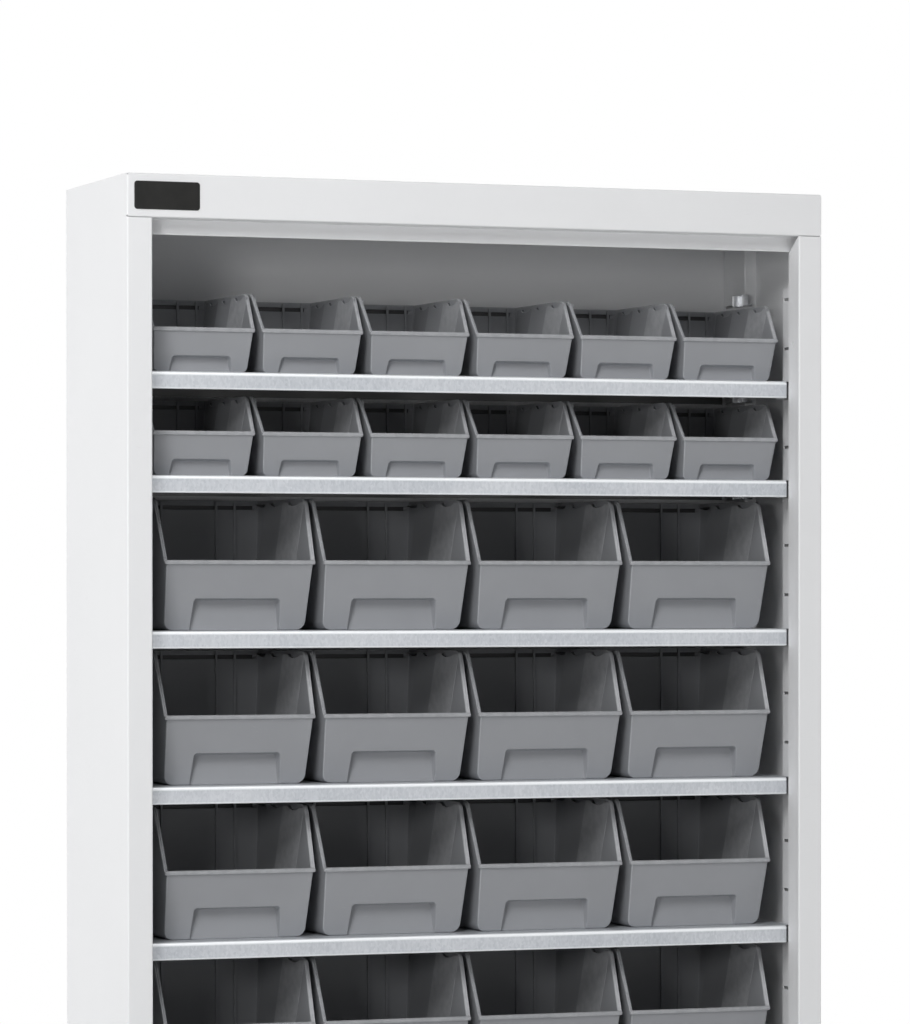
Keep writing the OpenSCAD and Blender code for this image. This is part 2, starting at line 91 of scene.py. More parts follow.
class Graph:
    """Adds nodes to one shader node tree and joins them up."""

    def __init__(self, tree: bpy.types.NodeTree) -> None:
        """Takes the tree that the nodes go into."""
        self.tree = tree

    def node(self, kind: str, **settings: object) -> bpy.types.Node:
        """Adds a node.

        Args:
            kind: Blender's node type, such as ShaderNodeMath.
            settings: attributes to set on it.

        Returns:
            The new node.
        """
        made = self.tree.nodes.new(kind)
        for name, value in settings.items():
            setattr(made, name, value)
        return made

    def feed(self, socket: bpy.types.NodeSocket, value: object) -> None:
        """Links value into socket if it is an output, or else sets it as the socket's number."""
        if isinstance(value, bpy.types.NodeSocket):
            self.tree.links.new(value, socket)
        else:
            socket.default_value = value

    def maths(self, operation: str, *values: object, clamp: bool = False) -> bpy.types.NodeSocket:
        """Works out one number.

        Args:
            operation: the Math node's operation.
            values: its inputs, numbers or outputs of other nodes.
            clamp: keeps the result between 0 and 1.

        Returns:
            The result's output.
        """
        made = self.node("ShaderNodeMath", operation=operation, use_clamp=clamp)
        for socket, value in zip(made.inputs, values):
            self.feed(socket, value)
        return made.outputs[0]

    def remap(
        self, value: object, low: float, high: float, to_low: float, to_high: float
    ) -> bpy.types.NodeSocket:
        """Maps value from low..high to to_low..to_high, held at the ends."""
        made = self.node("ShaderNodeMapRange")
        for name, number in zip(("From Min", "From Max", "To Min", "To Max"), (low, high, to_low, to_high)):
            made.inputs[name].default_value = number
        self.feed(made.inputs["Value"], value)
        return made.outputs["Result"]

    def blend(self, share: object, first: object, second: object) -> bpy.types.NodeSocket:
        """Mixes two colours.

        Args:
            share: how much of the second colour there is, from 0 to 1.
            first: a colour or an output.
            second: a colour or an output.

        Returns:
            The mixed colour.
        """
        made = self.node("ShaderNodeMix", data_type="RGBA")
        self.feed(made.inputs[0], share)
        self.feed(made.inputs[6], first)
        self.feed(made.inputs[7], second)
        return made.outputs[2]

    def place(self, scale: tuple[float, float, float] = (1.0, 1.0, 1.0)) -> bpy.types.NodeSocket:
        """Gives Object coordinates, stretched by scale."""
        where = self.node("ShaderNodeTexCoord").outputs["Object"]
        if scale == (1.0, 1.0, 1.0):
            return where
        mapping = self.node("ShaderNodeMapping")
        mapping.inputs["Scale"].default_value = scale
        self.feed(mapping.inputs["Vector"], where)
        return mapping.outputs["Vector"]

    def noise(
        self, where: object, scale: object, detail: float = 2.0, roughness: float = 0.5
    ) -> bpy.types.NodeSocket:
        """Gives a noise factor at where, with scale in cycles a metre."""
        made = self.node("ShaderNodeTexNoise")
        self.feed(made.inputs["Vector"], where)
        self.feed(made.inputs["Scale"], scale)
        made.inputs["Detail"].default_value = detail
        made.inputs["Roughness"].default_value = roughness
        return made.outputs["Fac"]


def rgba(red: float, green: float, blue: float) -> tuple[float, float, float, float]:
    """A solid linear colour."""
    return (red, green, blue, 1.0)


def node_group(
    name: str, inputs: dict[str, tuple[str, object]], outputs: dict[str, str]
) -> tuple[bpy.types.NodeTree, Graph, bpy.types.Node, bpy.types.Node]:
    """Starts a shader node group with named sockets.

    Args:
        name: the group's name.
        inputs: socket name to its type and default value.
        outputs: socket name to its type.

    Returns:
        The tree, a graph on it, its input node and its output node.
    """
    tree = bpy.data.node_groups.new(name, "ShaderNodeTree")
    for label, (kind, default) in inputs.items():
        socket = tree.interface.new_socket(label, in_out="INPUT", socket_type=kind)
        socket.default_value = default
    for label, kind in outputs.items():
        tree.interface.new_socket(label, in_out="OUTPUT", socket_type=kind)
    graph = Graph(tree)
    return tree, graph, graph.node("NodeGroupInput"), graph.node("NodeGroupOutput")


FLOAT, COLOUR = "NodeSocketFloat", "NodeSocketColor"


class Effects:
    """Node groups that more than one finish uses, each built once."""

    def __init__(self) -> None:
        """Builds the groups."""
        self.grain = self._grain()
        self.tone = self._tone()
        self.handling = self._handling()
        self.settled_dust = self._settled_dust()

    @staticmethod
    def _grain() -> bpy.types.NodeTree:
        """Fine surface texture: two sizes of noise added up, as a height from 0 to 1."""
        tree, g, entry, leave = node_group(
            "fine_grain",
            {"Scale": (FLOAT, 900.0), "Coarse Share": (FLOAT, 0.35)},
            {"Height": FLOAT},
        )
        where = g.place()
        fine = g.noise(where, entry.outputs["Scale"], 3.0, 0.55)
        coarse = g.noise(where, g.maths("MULTIPLY", entry.outputs["Scale"], 0.23), 2.0)
        share = entry.outputs["Coarse Share"]
        fine_part = g.maths("MULTIPLY", fine, g.maths("SUBTRACT", 1.0, share))
        total = g.maths("ADD", fine_part, g.maths("MULTIPLY", coarse, share))
        g.feed(leave.inputs["Height"], total)
        return tree

    @staticmethod
    def _tone() -> bpy.types.NodeTree:
        """Slow colour variation: the base colour drifts a little lighter and darker across a face."""
        tree, g, entry, leave = node_group(
            "slow_tone",
            {
                "Base": (COLOUR, rgba(0.5, 0.5, 0.5)), "Drift": (COLOUR, rgba(0.4, 0.4, 0.4)),
                "Scale": (FLOAT, 6.0), "Amount": (FLOAT, 0.3),
            },
            {"Color": COLOUR},
        )
        cloud = g.noise(g.place(), entry.outputs["Scale"], 3.0, 0.6)
        share = g.maths("MULTIPLY", g.remap(cloud, 0.35, 0.68, 0.0, 1.0), entry.outputs["Amount"])
        g.feed(leave.inputs["Color"], g.blend(share, entry.outputs["Base"], entry.outputs["Drift"]))
        return tree

    @staticmethod
    def _handling() -> bpy.types.NodeTree:
        """Sparse fine scuffs from use: stretched noise cut to thin streaks, as a mask from 0 to 1."""
        tree, g, entry, leave = node_group(
            "handling_scuffs",
            {"Scale": (FLOAT, 60.0), "Amount": (FLOAT, 1.0)},
            {"Mask": FLOAT},
        )
        streak = g.noise(g.place((1.0, 1.0, 6.0)), entry.outputs["Scale"], 4.0, 0.7)
        patch = g.noise(g.place(), g.maths("MULTIPLY", entry.outputs["Scale"], 0.12), 2.0)
        thin, where_used = g.remap(streak, 0.62, 0.72, 0.0, 1.0), g.remap(patch, 0.5, 0.66, 0.0, 1.0)
        mask = g.maths("MULTIPLY", thin, where_used)
        g.feed(leave.inputs["Mask"], g.maths("MULTIPLY", mask, entry.outputs["Amount"], clamp=True))
        return tree

    @staticmethod
    def _settled_dust() -> bpy.types.NodeTree:
        """Thin dust on faces that look upwards: the upward share of the normal times a patchy noise."""
        tree, g, entry, leave = node_group(
            "settled_dust",
            {"Amount": (FLOAT, 0.2)},
            {"Mask": FLOAT},
        )
        normal = g.node("ShaderNodeNewGeometry").outputs["Normal"]
        split = g.node("ShaderNodeSeparateXYZ")
        g.feed(split.inputs[0], normal)
        upward = g.remap(split.outputs["Z"], 0.75, 0.98, 0.0, 1.0)
        patch = g.remap(g.noise(g.place(), 45.0, 4.0, 0.65), 0.3, 0.75, 0.35, 1.0)
        lying = g.maths("MULTIPLY", upward, patch)
        g.feed(leave.inputs["Mask"], g.maths("MULTIPLY", lying, entry.outputs["Amount"]))
        return tree


def use_group(graph: Graph, tree: bpy.types.NodeTree, **values: object) -> bpy.types.Node:
    """Places a node group in a material.

    Args:
        graph: the material's graph.
        tree: the group.
        values: its inputs by name, with _ for each space.

    Returns:
        The group's node.
    """
    made = graph.node("ShaderNodeGroup")
    made.node_tree = tree
    for name, value in values.items():
        graph.feed(made.inputs[name.replace("_", " ")], value)
    return made


def new_material(name: str) -> tuple[bpy.types.Material, Graph, bpy.types.Node]:
    """Makes an empty material with one Principled shader.

    Returns:
        The material, a graph on it and its Principled BSDF.
    """
    material = bpy.data.materials.new(name)
    material.use_nodes = True
    material.node_tree.nodes.clear()
    graph = Graph(material.node_tree)
    shader = graph.node("ShaderNodeBsdfPrincipled")
    output = graph.node("ShaderNodeOutputMaterial")
    graph.feed(output.inputs["Surface"], shader.outputs["BSDF"])
    return material, graph, shader


def add_bump(
    graph: Graph, shader: bpy.types.Node, height: bpy.types.NodeSocket, strength: float, distance: float
) -> None:
    """Feeds a height into the shader's normal through a Bump node."""
    bump = graph.node("ShaderNodeBump")
    bump.inputs["Strength"].default_value = strength
    bump.inputs["Distance"].default_value = distance
    graph.feed(bump.inputs["Height"], height)
    graph.feed(shader.inputs["Normal"], bump.outputs["Normal"])


# ---------------------------------------------------------------------------
# Finishes


@dataclass(frozen=True)
class PaintedSteel:
    """Light grey powder coat with a fine orange-peel texture."""

    colour: Rgb = (0.822, 0.828, 0.838)
    drift: Rgb = (0.795, 0.80, 0.812)
    scuff: Rgb = (0.62, 0.62, 0.63)
    dust: Rgb = (0.60, 0.59, 0.56)
    roughness: float = 0.5
    grain_scale: float = 1500.0
    grain_depth: float = 0.00012

    def build(self, effects: Effects, name: str) -> bpy.types.Material:
        """Makes the paint material."""
        material, g, shader = new_material(name)
        base, drift = rgba(*self.colour), rgba(*self.drift)
        tone = use_group(g, effects.tone, Base=base, Drift=drift, Scale=4.0, Amount=0.6)
        scuffs = use_group(g, effects.handling, Scale=70.0, Amount=0.25)
        dust = use_group(g, effects.settled_dust, Amount=0.25)
        worn = g.blend(scuffs.outputs["Mask"], tone.outputs["Color"], rgba(*self.scuff))
        g.feed(shader.inputs["Base Color"], g.blend(dust.outputs["Mask"], worn, rgba(*self.dust)))
        grain = use_group(g, effects.grain, Scale=self.grain_scale, Coarse_Share=0.4)
        matt = g.remap(grain.outputs["Height"], 0.3, 0.7, self.roughness - 0.06, self.roughness + 0.08)
        g.feed(shader.inputs["Roughness"], matt)
        shader.inputs["Specular IOR Level"].default_value = 0.4
        add_bump(g, shader, grain.outputs["Height"], 0.22, self.grain_depth)
        return material


@dataclass(frozen=True)
class ZincSheet:
    """Zinc-coated steel sheet: pale metal with a fine crystal speckle, and a painted highlight where it is
    bent.
    """

    light: Rgb = (0.64, 0.66, 0.69)
    dark: Rgb = (0.45, 0.475, 0.51)
    # painted highlight: the near-white colour of the bends and the hem
    bend: Rgb = (0.86, 0.88, 0.90)
    # painted shade: the near-black colour of the shelf's underside and the back of its lip
    under: Rgb = (0.13, 0.13, 0.13)
    roughness: float = 0.45
    crystal_scale: float = 560.0
    crystal_share: float = 0.40
    streak_share: float = 0.20
    cloud_share: float = 0.40

    def build(self, effects: Effects, name: str) -> bpy.types.Material:
        """Makes the zinc material.

        The mesh's edge attribute marks its bends and hem for a painted highlight, and below zero its
        underside for painted shade.

        Args:
            effects: the shared node groups.
            name: the material's name.

        Returns:
            The material.
        """
        material, g, shader = new_material(name)
        cells = g.node("ShaderNodeTexVoronoi", feature="F1")
        g.feed(cells.inputs["Vector"], g.place((1.0, 1.0, 0.6)))
        cells.inputs["Scale"].default_value = self.crystal_scale
        facet = g.node("ShaderNodeSeparateColor")
        g.feed(facet.inputs[0], cells.outputs["Color"])
        streak = g.remap(g.noise(g.place((1.0, 0.4, 0.12)), 380.0, 3.0, 0.6), 0.32, 0.68, 0.0, 1.0)
        cloud = g.remap(g.noise(g.place((1.0, 1.0, 2.5)), 7.0, 2.0, 0.5), 0.36, 0.64, 0.0, 1.0)
        shade = g.maths("MULTIPLY", facet.outputs[0], self.crystal_share)
        for part, share in ((streak, self.streak_share), (cloud, self.cloud_share)):
            shade = g.maths("ADD", shade, g.maths("MULTIPLY", part, share))
        edge = g.node("ShaderNodeAttribute", attribute_name="edge").outputs["Fac"]
        flat = g.blend(shade, rgba(*self.dark), rgba(*self.light))
        # painted highlight: the bends and the hem are painted towards near white
        bent = g.blend(g.remap(edge, 0.3, 1.0, 0.0, 0.85), flat, rgba(*self.bend))
        # painted shade: the underside and the back of the lip are painted near black
        underside = g.remap(edge, -1.0, -0.2, 1.0, 0.0)
        g.feed(shader.inputs["Base Color"], g.blend(underside, bent, rgba(*self.under)))
        satin = g.remap(shade, 0.0, 1.0, self.roughness + 0.08, self.roughness - 0.08)
        g.feed(shader.inputs["Roughness"], satin)
        shader.inputs["Metallic"].default_value = 0.6
        grain = use_group(g, effects.grain, Scale=1300.0, Coarse_Share=0.3)
        fine = g.maths("MULTIPLY", grain.outputs["Height"], 0.6)
        height = g.maths("ADD", fine, g.maths("MULTIPLY", facet.outputs[0], 0.25))
        add_bump(g, shader, height, 0.14, 0.0001)
        return material


@dataclass(frozen=True)
class BinPlastic:
    """Mid grey moulded plastic with a faint spark-eroded grain, paler along its edges as wear and as a painted
    highlight.
    """

    colour: Rgb = (0.308, 0.316, 0.334)
    drift: Rgb = (0.280, 0.287, 0.304)
    # paler edge colour: wear, and a painted highlight on the rim, the front corners and the plates' rounded
    # edges
    edge: Rgb = (0.41, 0.418, 0.435)
    # painted shade: near-black colour for the hanging lip behind the slot, and partly for the rear pads
    painted_shade: Rgb = (0.05, 0.05, 0.052)
    scuff: Rgb = (0.40, 0.405, 0.415)
    dust: Rgb = (0.42, 0.415, 0.40)
    roughness: float = 0.48
    grain_scale: float = 1700.0

    def build(self, effects: Effects, name: str) -> bpy.types.Material:
        """Makes the plastic material.

        The mesh's edge attribute marks worn edges, which also carry a painted highlight, and below
        zero the places darkened by painted shade.

        Args:
            effects: the shared node groups.
            name: the material's name.

        Returns:
            The material.
        """
        material, g, shader = new_material(name)
        base, drift = rgba(*self.colour), rgba(*self.drift)
        tone = use_group(g, effects.tone, Base=base, Drift=drift, Scale=14.0, Amount=0.55)
        edge = g.node("ShaderNodeAttribute", attribute_name="edge").outputs["Fac"]
        # positive edge values pale the colour, as wear and as a painted highlight
        wear_and_highlight = g.maths("MULTIPLY", edge, g.remap(g.noise(g.place(), 120.0, 3.0), 0.35, 0.65, 0.35, 0.9))
        pale = g.blend(wear_and_highlight, tone.outputs["Color"], rgba(*self.edge))
        # negative edge values darken the colour towards near black as painted shade
        pale = g.blend(g.remap(edge, -1.0, 0.0, 1.0, 0.0), pale, rgba(*self.painted_shade))
        scuffs = use_group(g, effects.handling, Scale=110.0, Amount=0.35)
        dust = use_group(g, effects.settled_dust, Amount=0.2)
        marked = g.blend(scuffs.outputs["Mask"], pale, rgba(*self.scuff))
        g.feed(shader.inputs["Base Color"], g.blend(dust.outputs["Mask"], marked, rgba(*self.dust)))
        grain = use_group(g, effects.grain, Scale=self.grain_scale, Coarse_Share=0.25)
        matt = g.remap(grain.outputs["Height"], 0.3, 0.7, self.roughness - 0.07, self.roughness + 0.07)
        g.feed(shader.inputs["Roughness"], matt)
        shader.inputs["Specular IOR Level"].default_value = 0.45
        add_bump(g, shader, grain.outputs["Height"], 0.2, 0.0001)
        return material


@dataclass(frozen=True)
class BadgeLacquer:
    """Black satin lacquer on the blank badge plate."""

    colour: Rgb = (0.008, 0.008, 0.0074)
    drift: Rgb = (0.018, 0.018, 0.0165)
    # painted highlight: the lighter colour of the rounded edge
    rim: Rgb = (0.12, 0.12, 0.12)

    def build(self, effects: Effects, name: str) -> bpy.types.Material:
        """Makes the lacquer, with a painted highlight where the mesh's edge attribute marks the rounded edge.
        """
        material, g, shader = new_material(name)
        base, drift = rgba(*self.colour), rgba(*self.drift)
        tone = use_group(g, effects.tone, Base=base, Drift=drift, Scale=40.0, Amount=0.7)
        edge = g.node("ShaderNodeAttribute", attribute_name="edge").outputs["Fac"]
        # painted highlight on the rounded edge
        bevel = g.maths("MULTIPLY", edge, 0.5)
        g.feed(shader.inputs["Base Color"], g.blend(bevel, tone.outputs["Color"], rgba(*self.rim)))
        grain = use_group(g, effects.grain, Scale=2600.0, Coarse_Share=0.2)
        g.feed(shader.inputs["Roughness"], g.remap(grain.outputs["Height"], 0.3, 0.7, 0.34, 0.46))
        shader.inputs["Specular IOR Level"].default_value = 0.06
        add_bump(g, shader, grain.outputs["Height"], 0.1, 0.00005)
        return material


@dataclass(frozen=True)
class PlainMetal:
    """Bright metal of small fixings, with fine scratches."""

    colour: Rgb = (0.72, 0.73, 0.75)
    dull: Rgb = (0.58, 0.59, 0.61)
    roughness: float = 0.34

    def build(self, effects: Effects, name: str) -> bpy.types.Material:
        """Makes the metal material."""
        material, g, shader = new_material(name)
        base, dull = rgba(*self.colour), rgba(*self.dull)
        tone = use_group(g, effects.tone, Base=base, Drift=dull, Scale=90.0, Amount=0.8)
        g.feed(shader.inputs["Base Color"], tone.outputs["Color"])
        scratches = g.noise(g.place((1.0, 1.0, 9.0)), 700.0, 4.0, 0.7)
        satin = g.remap(scratches, 0.3, 0.7, self.roughness - 0.08, self.roughness + 0.12)
        g.feed(shader.inputs["Roughness"], satin)
        shader.inputs["Metallic"].default_value = 1.0
        add_bump(g, shader, scratches, 0.12, 0.0001)
        return material


class Finishes:
    """Every finish of the cabinet, built once."""

    def __init__(self) -> None:
        """Builds the shared effects and the materials."""
        effects = Effects()
        self.paint = PaintedSteel().build(effects, "carcass_paint")
        self.zinc = ZincSheet().build(effects, "zinc_sheet")
        self.plastic = BinPlastic().build(effects, "bin_plastic")
        self.badge = BadgeLacquer().build(effects, "badge_lacquer")
        self.clip_metal = PlainMetal().build(effects, "clip_zinc")
        aluminium = PlainMetal(colour=(0.78, 0.78, 0.79), roughness=0.3)
        self.rivet_metal = aluminium.build(effects, "rivet_aluminium")


# ---------------------------------------------------------------------------
# Surfaces


def stack(*columns: object) -> Array:
    """Puts coordinate arrays side by side as points."""
    return np.stack(np.broadcast_arrays(*columns), axis=-1).astype(float)


def ease(value: Array, low: float, high: float) -> Array:
    """The cubic ease 3t^2 - 2t^3 from 0 at low to 1 at high."""
    t = np.clip((value - low) / (high - low), 0.0, 1.0)
    return t * t * (3.0 - 2.0 * t)


def fillet_path(corners: Array, radii: Array, steps: int = 4) -> Array:
    """Rounds the corners of an open path in a plane.

    Each inner corner becomes an arc of its radius that touches both of its runs: the arc's
    centre lies on the corner's bisector at radius / sin(half angle), and its points turn
    evenly from one touching point to the other. The two end points stay.

    Args:
        corners: the path's corners, shape (n, 2).
        radii: the radius at each inner corner, shape (n - 2,).
        steps: segments in each arc.

    Returns:
        The rounded path, shape (2 + (n - 2) * (steps + 1), 2).
    """
    corner, before, after = corners[1:-1], corners[:-2] - corners[1:-1], corners[2:] - corners[1:-1]
    a = before / np.linalg.norm(before, axis=1, keepdims=True)
    b = after / np.linalg.norm(after, axis=1, keepdims=True)
    half = np.arccos(np.clip((a * b).sum(1), -1.0, 1.0)) / 2
    bisector = (a + b) / np.linalg.norm(a + b, axis=1, keepdims=True)
    centre = corner + bisector * (radii / np.sin(half))[:, None]
    spoke = corner + a * (radii / np.tan(half))[:, None] - centre
    way = np.sign(a[:, 1] * b[:, 0] - a[:, 0] * b[:, 1])
    angle = (way * (math.pi - 2 * half))[:, None] * np.linspace(0.0, 1.0, steps + 1)
    x = centre[:, :1] + spoke[:, :1] * np.cos(angle) - spoke[:, 1:] * np.sin(angle)
    y = centre[:, 1:] + spoke[:, :1] * np.sin(angle) + spoke[:, 1:] * np.cos(angle)
    return np.concatenate([corners[:1], stack(x, y).reshape(-1, 2), corners[-1:]])


@dataclass(frozen=True)
class Axes:
    """A right-handed frame in millimetres: a point's place is origin + u * first + v * second + w * third."""

    origin: Array
    first: Array
    second: Array
    third: Array

    @staticmethod
    def of(origin: object, first: object, second: object) -> Axes:
        """Makes the frame whose third axis is first x second, of unit length."""
        first, second = np.array(first, float), np.array(second, float)
        third = np.cross(first, second)
        return Axes(np.array(origin, float), first, second, third / np.linalg.norm(third))

    def at(self, u: Array, v: Array, w: Array) -> Array:
        """Gives points for frame coordinates of one shape."""
        u, v, w = (c[..., None] for c in np.broadcast_arrays(u, v, w))
        return self.origin + u * self.first + v * self.second + w * self.third


class Shell:
    """Gathers surfaces in millimetres and joins them into one closed mesh.

    Each point carries an edge value: from 0 on a plain face to 1 on a rounded edge that is
    painted lighter, as wear and as a painted highlight, and below 0 where painted shade darkens a
    surface that is out of reach of the light.
    """

    # edge values up a plate's side: its rounded upper edge is painted lighter, as wear and as a highlight
    PLATE_EDGE = (0.0, 0.3, 1.0, 1.0)

    def __init__(self) -> None:
        """Starts empty."""
        self.points: list[Array] = []
        self.edges: list[Array] = []
        self.quads: list[Array] = []
        self.caps: list[Array] = []
        self.count = 0

    def grid(
        self, points: Array, loop: bool = False, edge: object = 0.0, flip: bool = False,
        hole: Array | None = None,
    ) -> Array:
        """Adds a surface given as a grid of points, facing columns x rows.

        Args:
            points: the grid, shape (rows, columns, 3).
            loop: joins the last column to the first.
            edge: each point's edge value, broadcast over the grid.
            flip: turns the faces over.
            hole: true for each face to be left out.

        Returns:
            The index of each grid point in the mesh, shape (rows, columns).
        """
        rows, columns = points.shape[:2]
        index = self.count + np.arange(rows * columns).reshape(rows, columns)
        wide = np.concatenate([index, index[:, :1]], axis=1) if loop else index
        quads = stack(wide[:-1, :-1], wide[:-1, 1:], wide[1:, 1:], wide[1:, :-1]).astype(int)
        quads = quads[~hole] if hole is not None else quads.reshape(-1, 4)
        self.points.append(points.reshape(-1, 3))
        self.edges.append(np.broadcast_to(edge, (rows, columns)).reshape(-1).astype(float))
        self.quads.append(quads[:, ::-1] if flip else quads)
        self.count += rows * columns
        return index

    def join(self, first: Array, second: Array, flip: bool = False) -> None:
        """Adds a strip of faces between two rows of point indices, facing first's run x the way across."""
        quads = stack(first[:-1], first[1:], second[1:], second[:-1]).astype(int)
        self.quads.append(quads[:, ::-1] if flip else quads)

    def cap(self, ring: Array, flip: bool = False) -> None:
        """Closes a flat ring of point indices with one face."""
        self.caps.append(ring[::-1] if flip else ring)

    def plate(
        self, outline: Array, axes: Axes, rise: float, fillet: float, sunk: float = 0.4, mirror: bool = False,
        lift: object = 0.0, face: float = 0.3,
    ) -> None:
        """Adds a low plate with a rounded upper edge, standing along the frame's third axis.

        The outline is drawn in along its own inward normals by fillet * (1 - cos a) while it
        rises by fillet * sin a, for a from 0 to a right angle, and is closed flat on top.

        Args:
            outline: corners in the frame's plane, anticlockwise, shape (n, 2).
            axes: the frame.
            rise: how far the plate stands up.
            fillet: radius of the rounded edge.
            sunk: how far its foot goes into what carries it.
            mirror: makes it on the other side of X = 0 instead.
            lift: how much higher each corner of the outline stands.
            face: the top face's edge value.
        """
        ahead, behind = np.roll(outline, -1, 0) - outline, outline - np.roll(outline, 1, 0)
        run = sum(part / np.linalg.norm(part, axis=1, keepdims=True) for part in (ahead, behind))
        run /= np.linalg.norm(run, axis=1, keepdims=True)
        inward = stack(-run[:, 1], run[:, 0])
        angle = np.radians([0.0, 30.0, 60.0, 90.0])
        inset = np.concatenate([[0.0], fillet * (1.0 - np.cos(angle))])[:, None, None]
        height = np.concatenate([[-sunk], rise - fillet + fillet * np.sin(angle)])[:, None]
        height = height + np.array([[0.0], [1.0], [1.0], [1.0], [1.0]]) * lift
        flat = outline + inset * inward
        points = axes.at(flat[..., 0], flat[..., 1], height)
        if mirror:
            points = points * np.array([-1.0, 1.0, 1.0])
        index = self.grid(points, loop=True, edge=np.array([*self.PLATE_EDGE, face])[:, None], flip=mirror)
        self.cap(index[0], flip=not mirror)
        self.cap(index[-1], flip=mirror)

    def folded_sheet(
        self, path: Array, axes: Axes, thickness: float, lows: Array, highs: Array, mirror: bool = False,
        edges: object = ((0.0,), (0.0,)),
    ) -> None:
        """Adds a folded sheet: a middle line in the frame's plane, run along the third axis.

        Each side of the sheet is the middle line moved by half the thickness along its
        normal, the mean of its neighbouring runs' normals. Strips close its four edges.

        Args:
            path: the middle line, shape (n, 2).
            axes: the frame.
            thickness: the sheet's thickness.
            lows: where each point of the path starts along the third axis.
            highs: where it ends.
            mirror: makes it on the other side of X = 0 instead.
            edges: the edge value at each point of the path, for the first side and for the second.
        """
        run = np.gradient(path, axis=0)
        run /= np.linalg.norm(run, axis=1, keepdims=True)
        across = stack(run[:, 1], -run[:, 0]) * thickness / 2
        lip = 0.4
        reach = stack(lows, lows + lip, highs - lip, highs)
        sides = []
        for sign, edge in zip((1.0, -1.0), edges):
            line = path + sign * across
            points = axes.at(line[:, :1], line[:, 1:], reach)
            if mirror:
                points = points * np.array([-1.0, 1.0, 1.0])
            sides.append(self.grid(points, edge=np.array(edge)[:, None], flip=(sign > 0) != mirror))
        outer, inner = sides
        self.join(outer[:, -1], inner[:, -1], flip=mirror)
        self.join(outer[:, 0], inner[:, 0], flip=not mirror)
        self.join(outer[0], inner[0], flip=mirror)
        self.join(outer[-1], inner[-1], flip=not mirror)

    def _normals(self, points: Array, quads: Array) -> Array:
        """Area-weighted normals: each face's normal times its area is added to its corners."""
        a, b, c, d = (points[quads[:, i]] for i in range(4))
        face = np.cross(c - a, d - b) / 2
        total = np.zeros_like(points)
        for axis in range(3):
            total[:, axis] = np.bincount(quads.reshape(-1), np.repeat(face[:, axis], 4), len(points))
        for ring in self.caps:
            spoke = points[ring] - points[ring[0]]
            total[ring] += np.cross(spoke, np.roll(spoke, -1, 0)).sum(0) / 2
        return total / np.maximum(np.linalg.norm(total, axis=1, keepdims=True), 1e-12)

    def build(self, name: str, place: Point = (0.0, 0.0, 0.0)) -> bpy.types.Object:
        """Makes the mesh object, with its place in its mesh and smooth weighted normals.

        Args:
            name: the object's name.
            place: millimetres added to every point.

        Returns:
            The object, at the origin.
        """
        points, quads = np.concatenate(self.points), np.concatenate(self.quads)
        mesh = bpy.data.meshes.new(name)
        faces = quads.tolist() + [ring.tolist() for ring in self.caps]
        mesh.from_pydata(((points + np.array(place)) * MM).tolist(), [], faces)
        mesh.shade_smooth()
        mesh.normals_split_custom_set_from_vertices(self._normals(points, quads).tolist())
        attribute = mesh.attributes.new("edge", "FLOAT", "POINT")
        attribute.data.foreach_set("value", np.concatenate(self.edges).astype(np.float32))
        made = bpy.data.objects.new(name, mesh)
        bpy.context.scene.collection.objects.link(made)
        return made


def dress(piece: bpy.types.Object, material: bpy.types.Material, slot: Slot, body: str, *nodes: str) -> None:
    """Gives a new piece its finish and its body, and hides the CAD nodes that it stands for."""
    piece.data.materials.clear()
    piece.data.materials.append(material)
    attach(piece, body)
    if nodes:
        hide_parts(*nodes)
    log.info("%s rides on %s with %d faces", piece.name, body, len(piece.data.polygons))


def rounded_rectangle(width: float, height: float, radius: float, steps: int = 6) -> Array:
    """The outline of a rectangle about the origin with arcs at its corners, anticlockwise."""
    angle = np.linspace(0.0, math.pi / 2, steps + 1) + np.arange(4)[:, None] * math.pi / 2
    sign = np.array([[1, 1], [-1, 1], [-1, -1], [1, -1]])[:, None, :]
    centre = sign * np.array([width / 2 - radius, height / 2 - radius])
    return (centre + radius * stack(np.cos(angle), np.sin(angle))).reshape(-1, 2)


# ---------------------------------------------------------------------------
# Sizes


@dataclass(frozen=True)
class CabinetSizes:
    """The cabinet's main sizes in millimetres, as the CAD frame has them."""

    width: float = 723.0
    depth: float = 225.0
    height: float = 1000.0
    base: float = 113.2
    front: float = -111.5
    header: float = 42.0
    slot_pitch: float = 50.0
    rail: float = 14.0
    slot_steps: tuple[int, ...] = (14, 12, 9, 6, 3, 0)

    def surface(self, row: int) -> float:
        """Height of the surface that a row of bins stands on, counted from the top."""
        return self.base + self.slot_steps[row] * self.slot_pitch


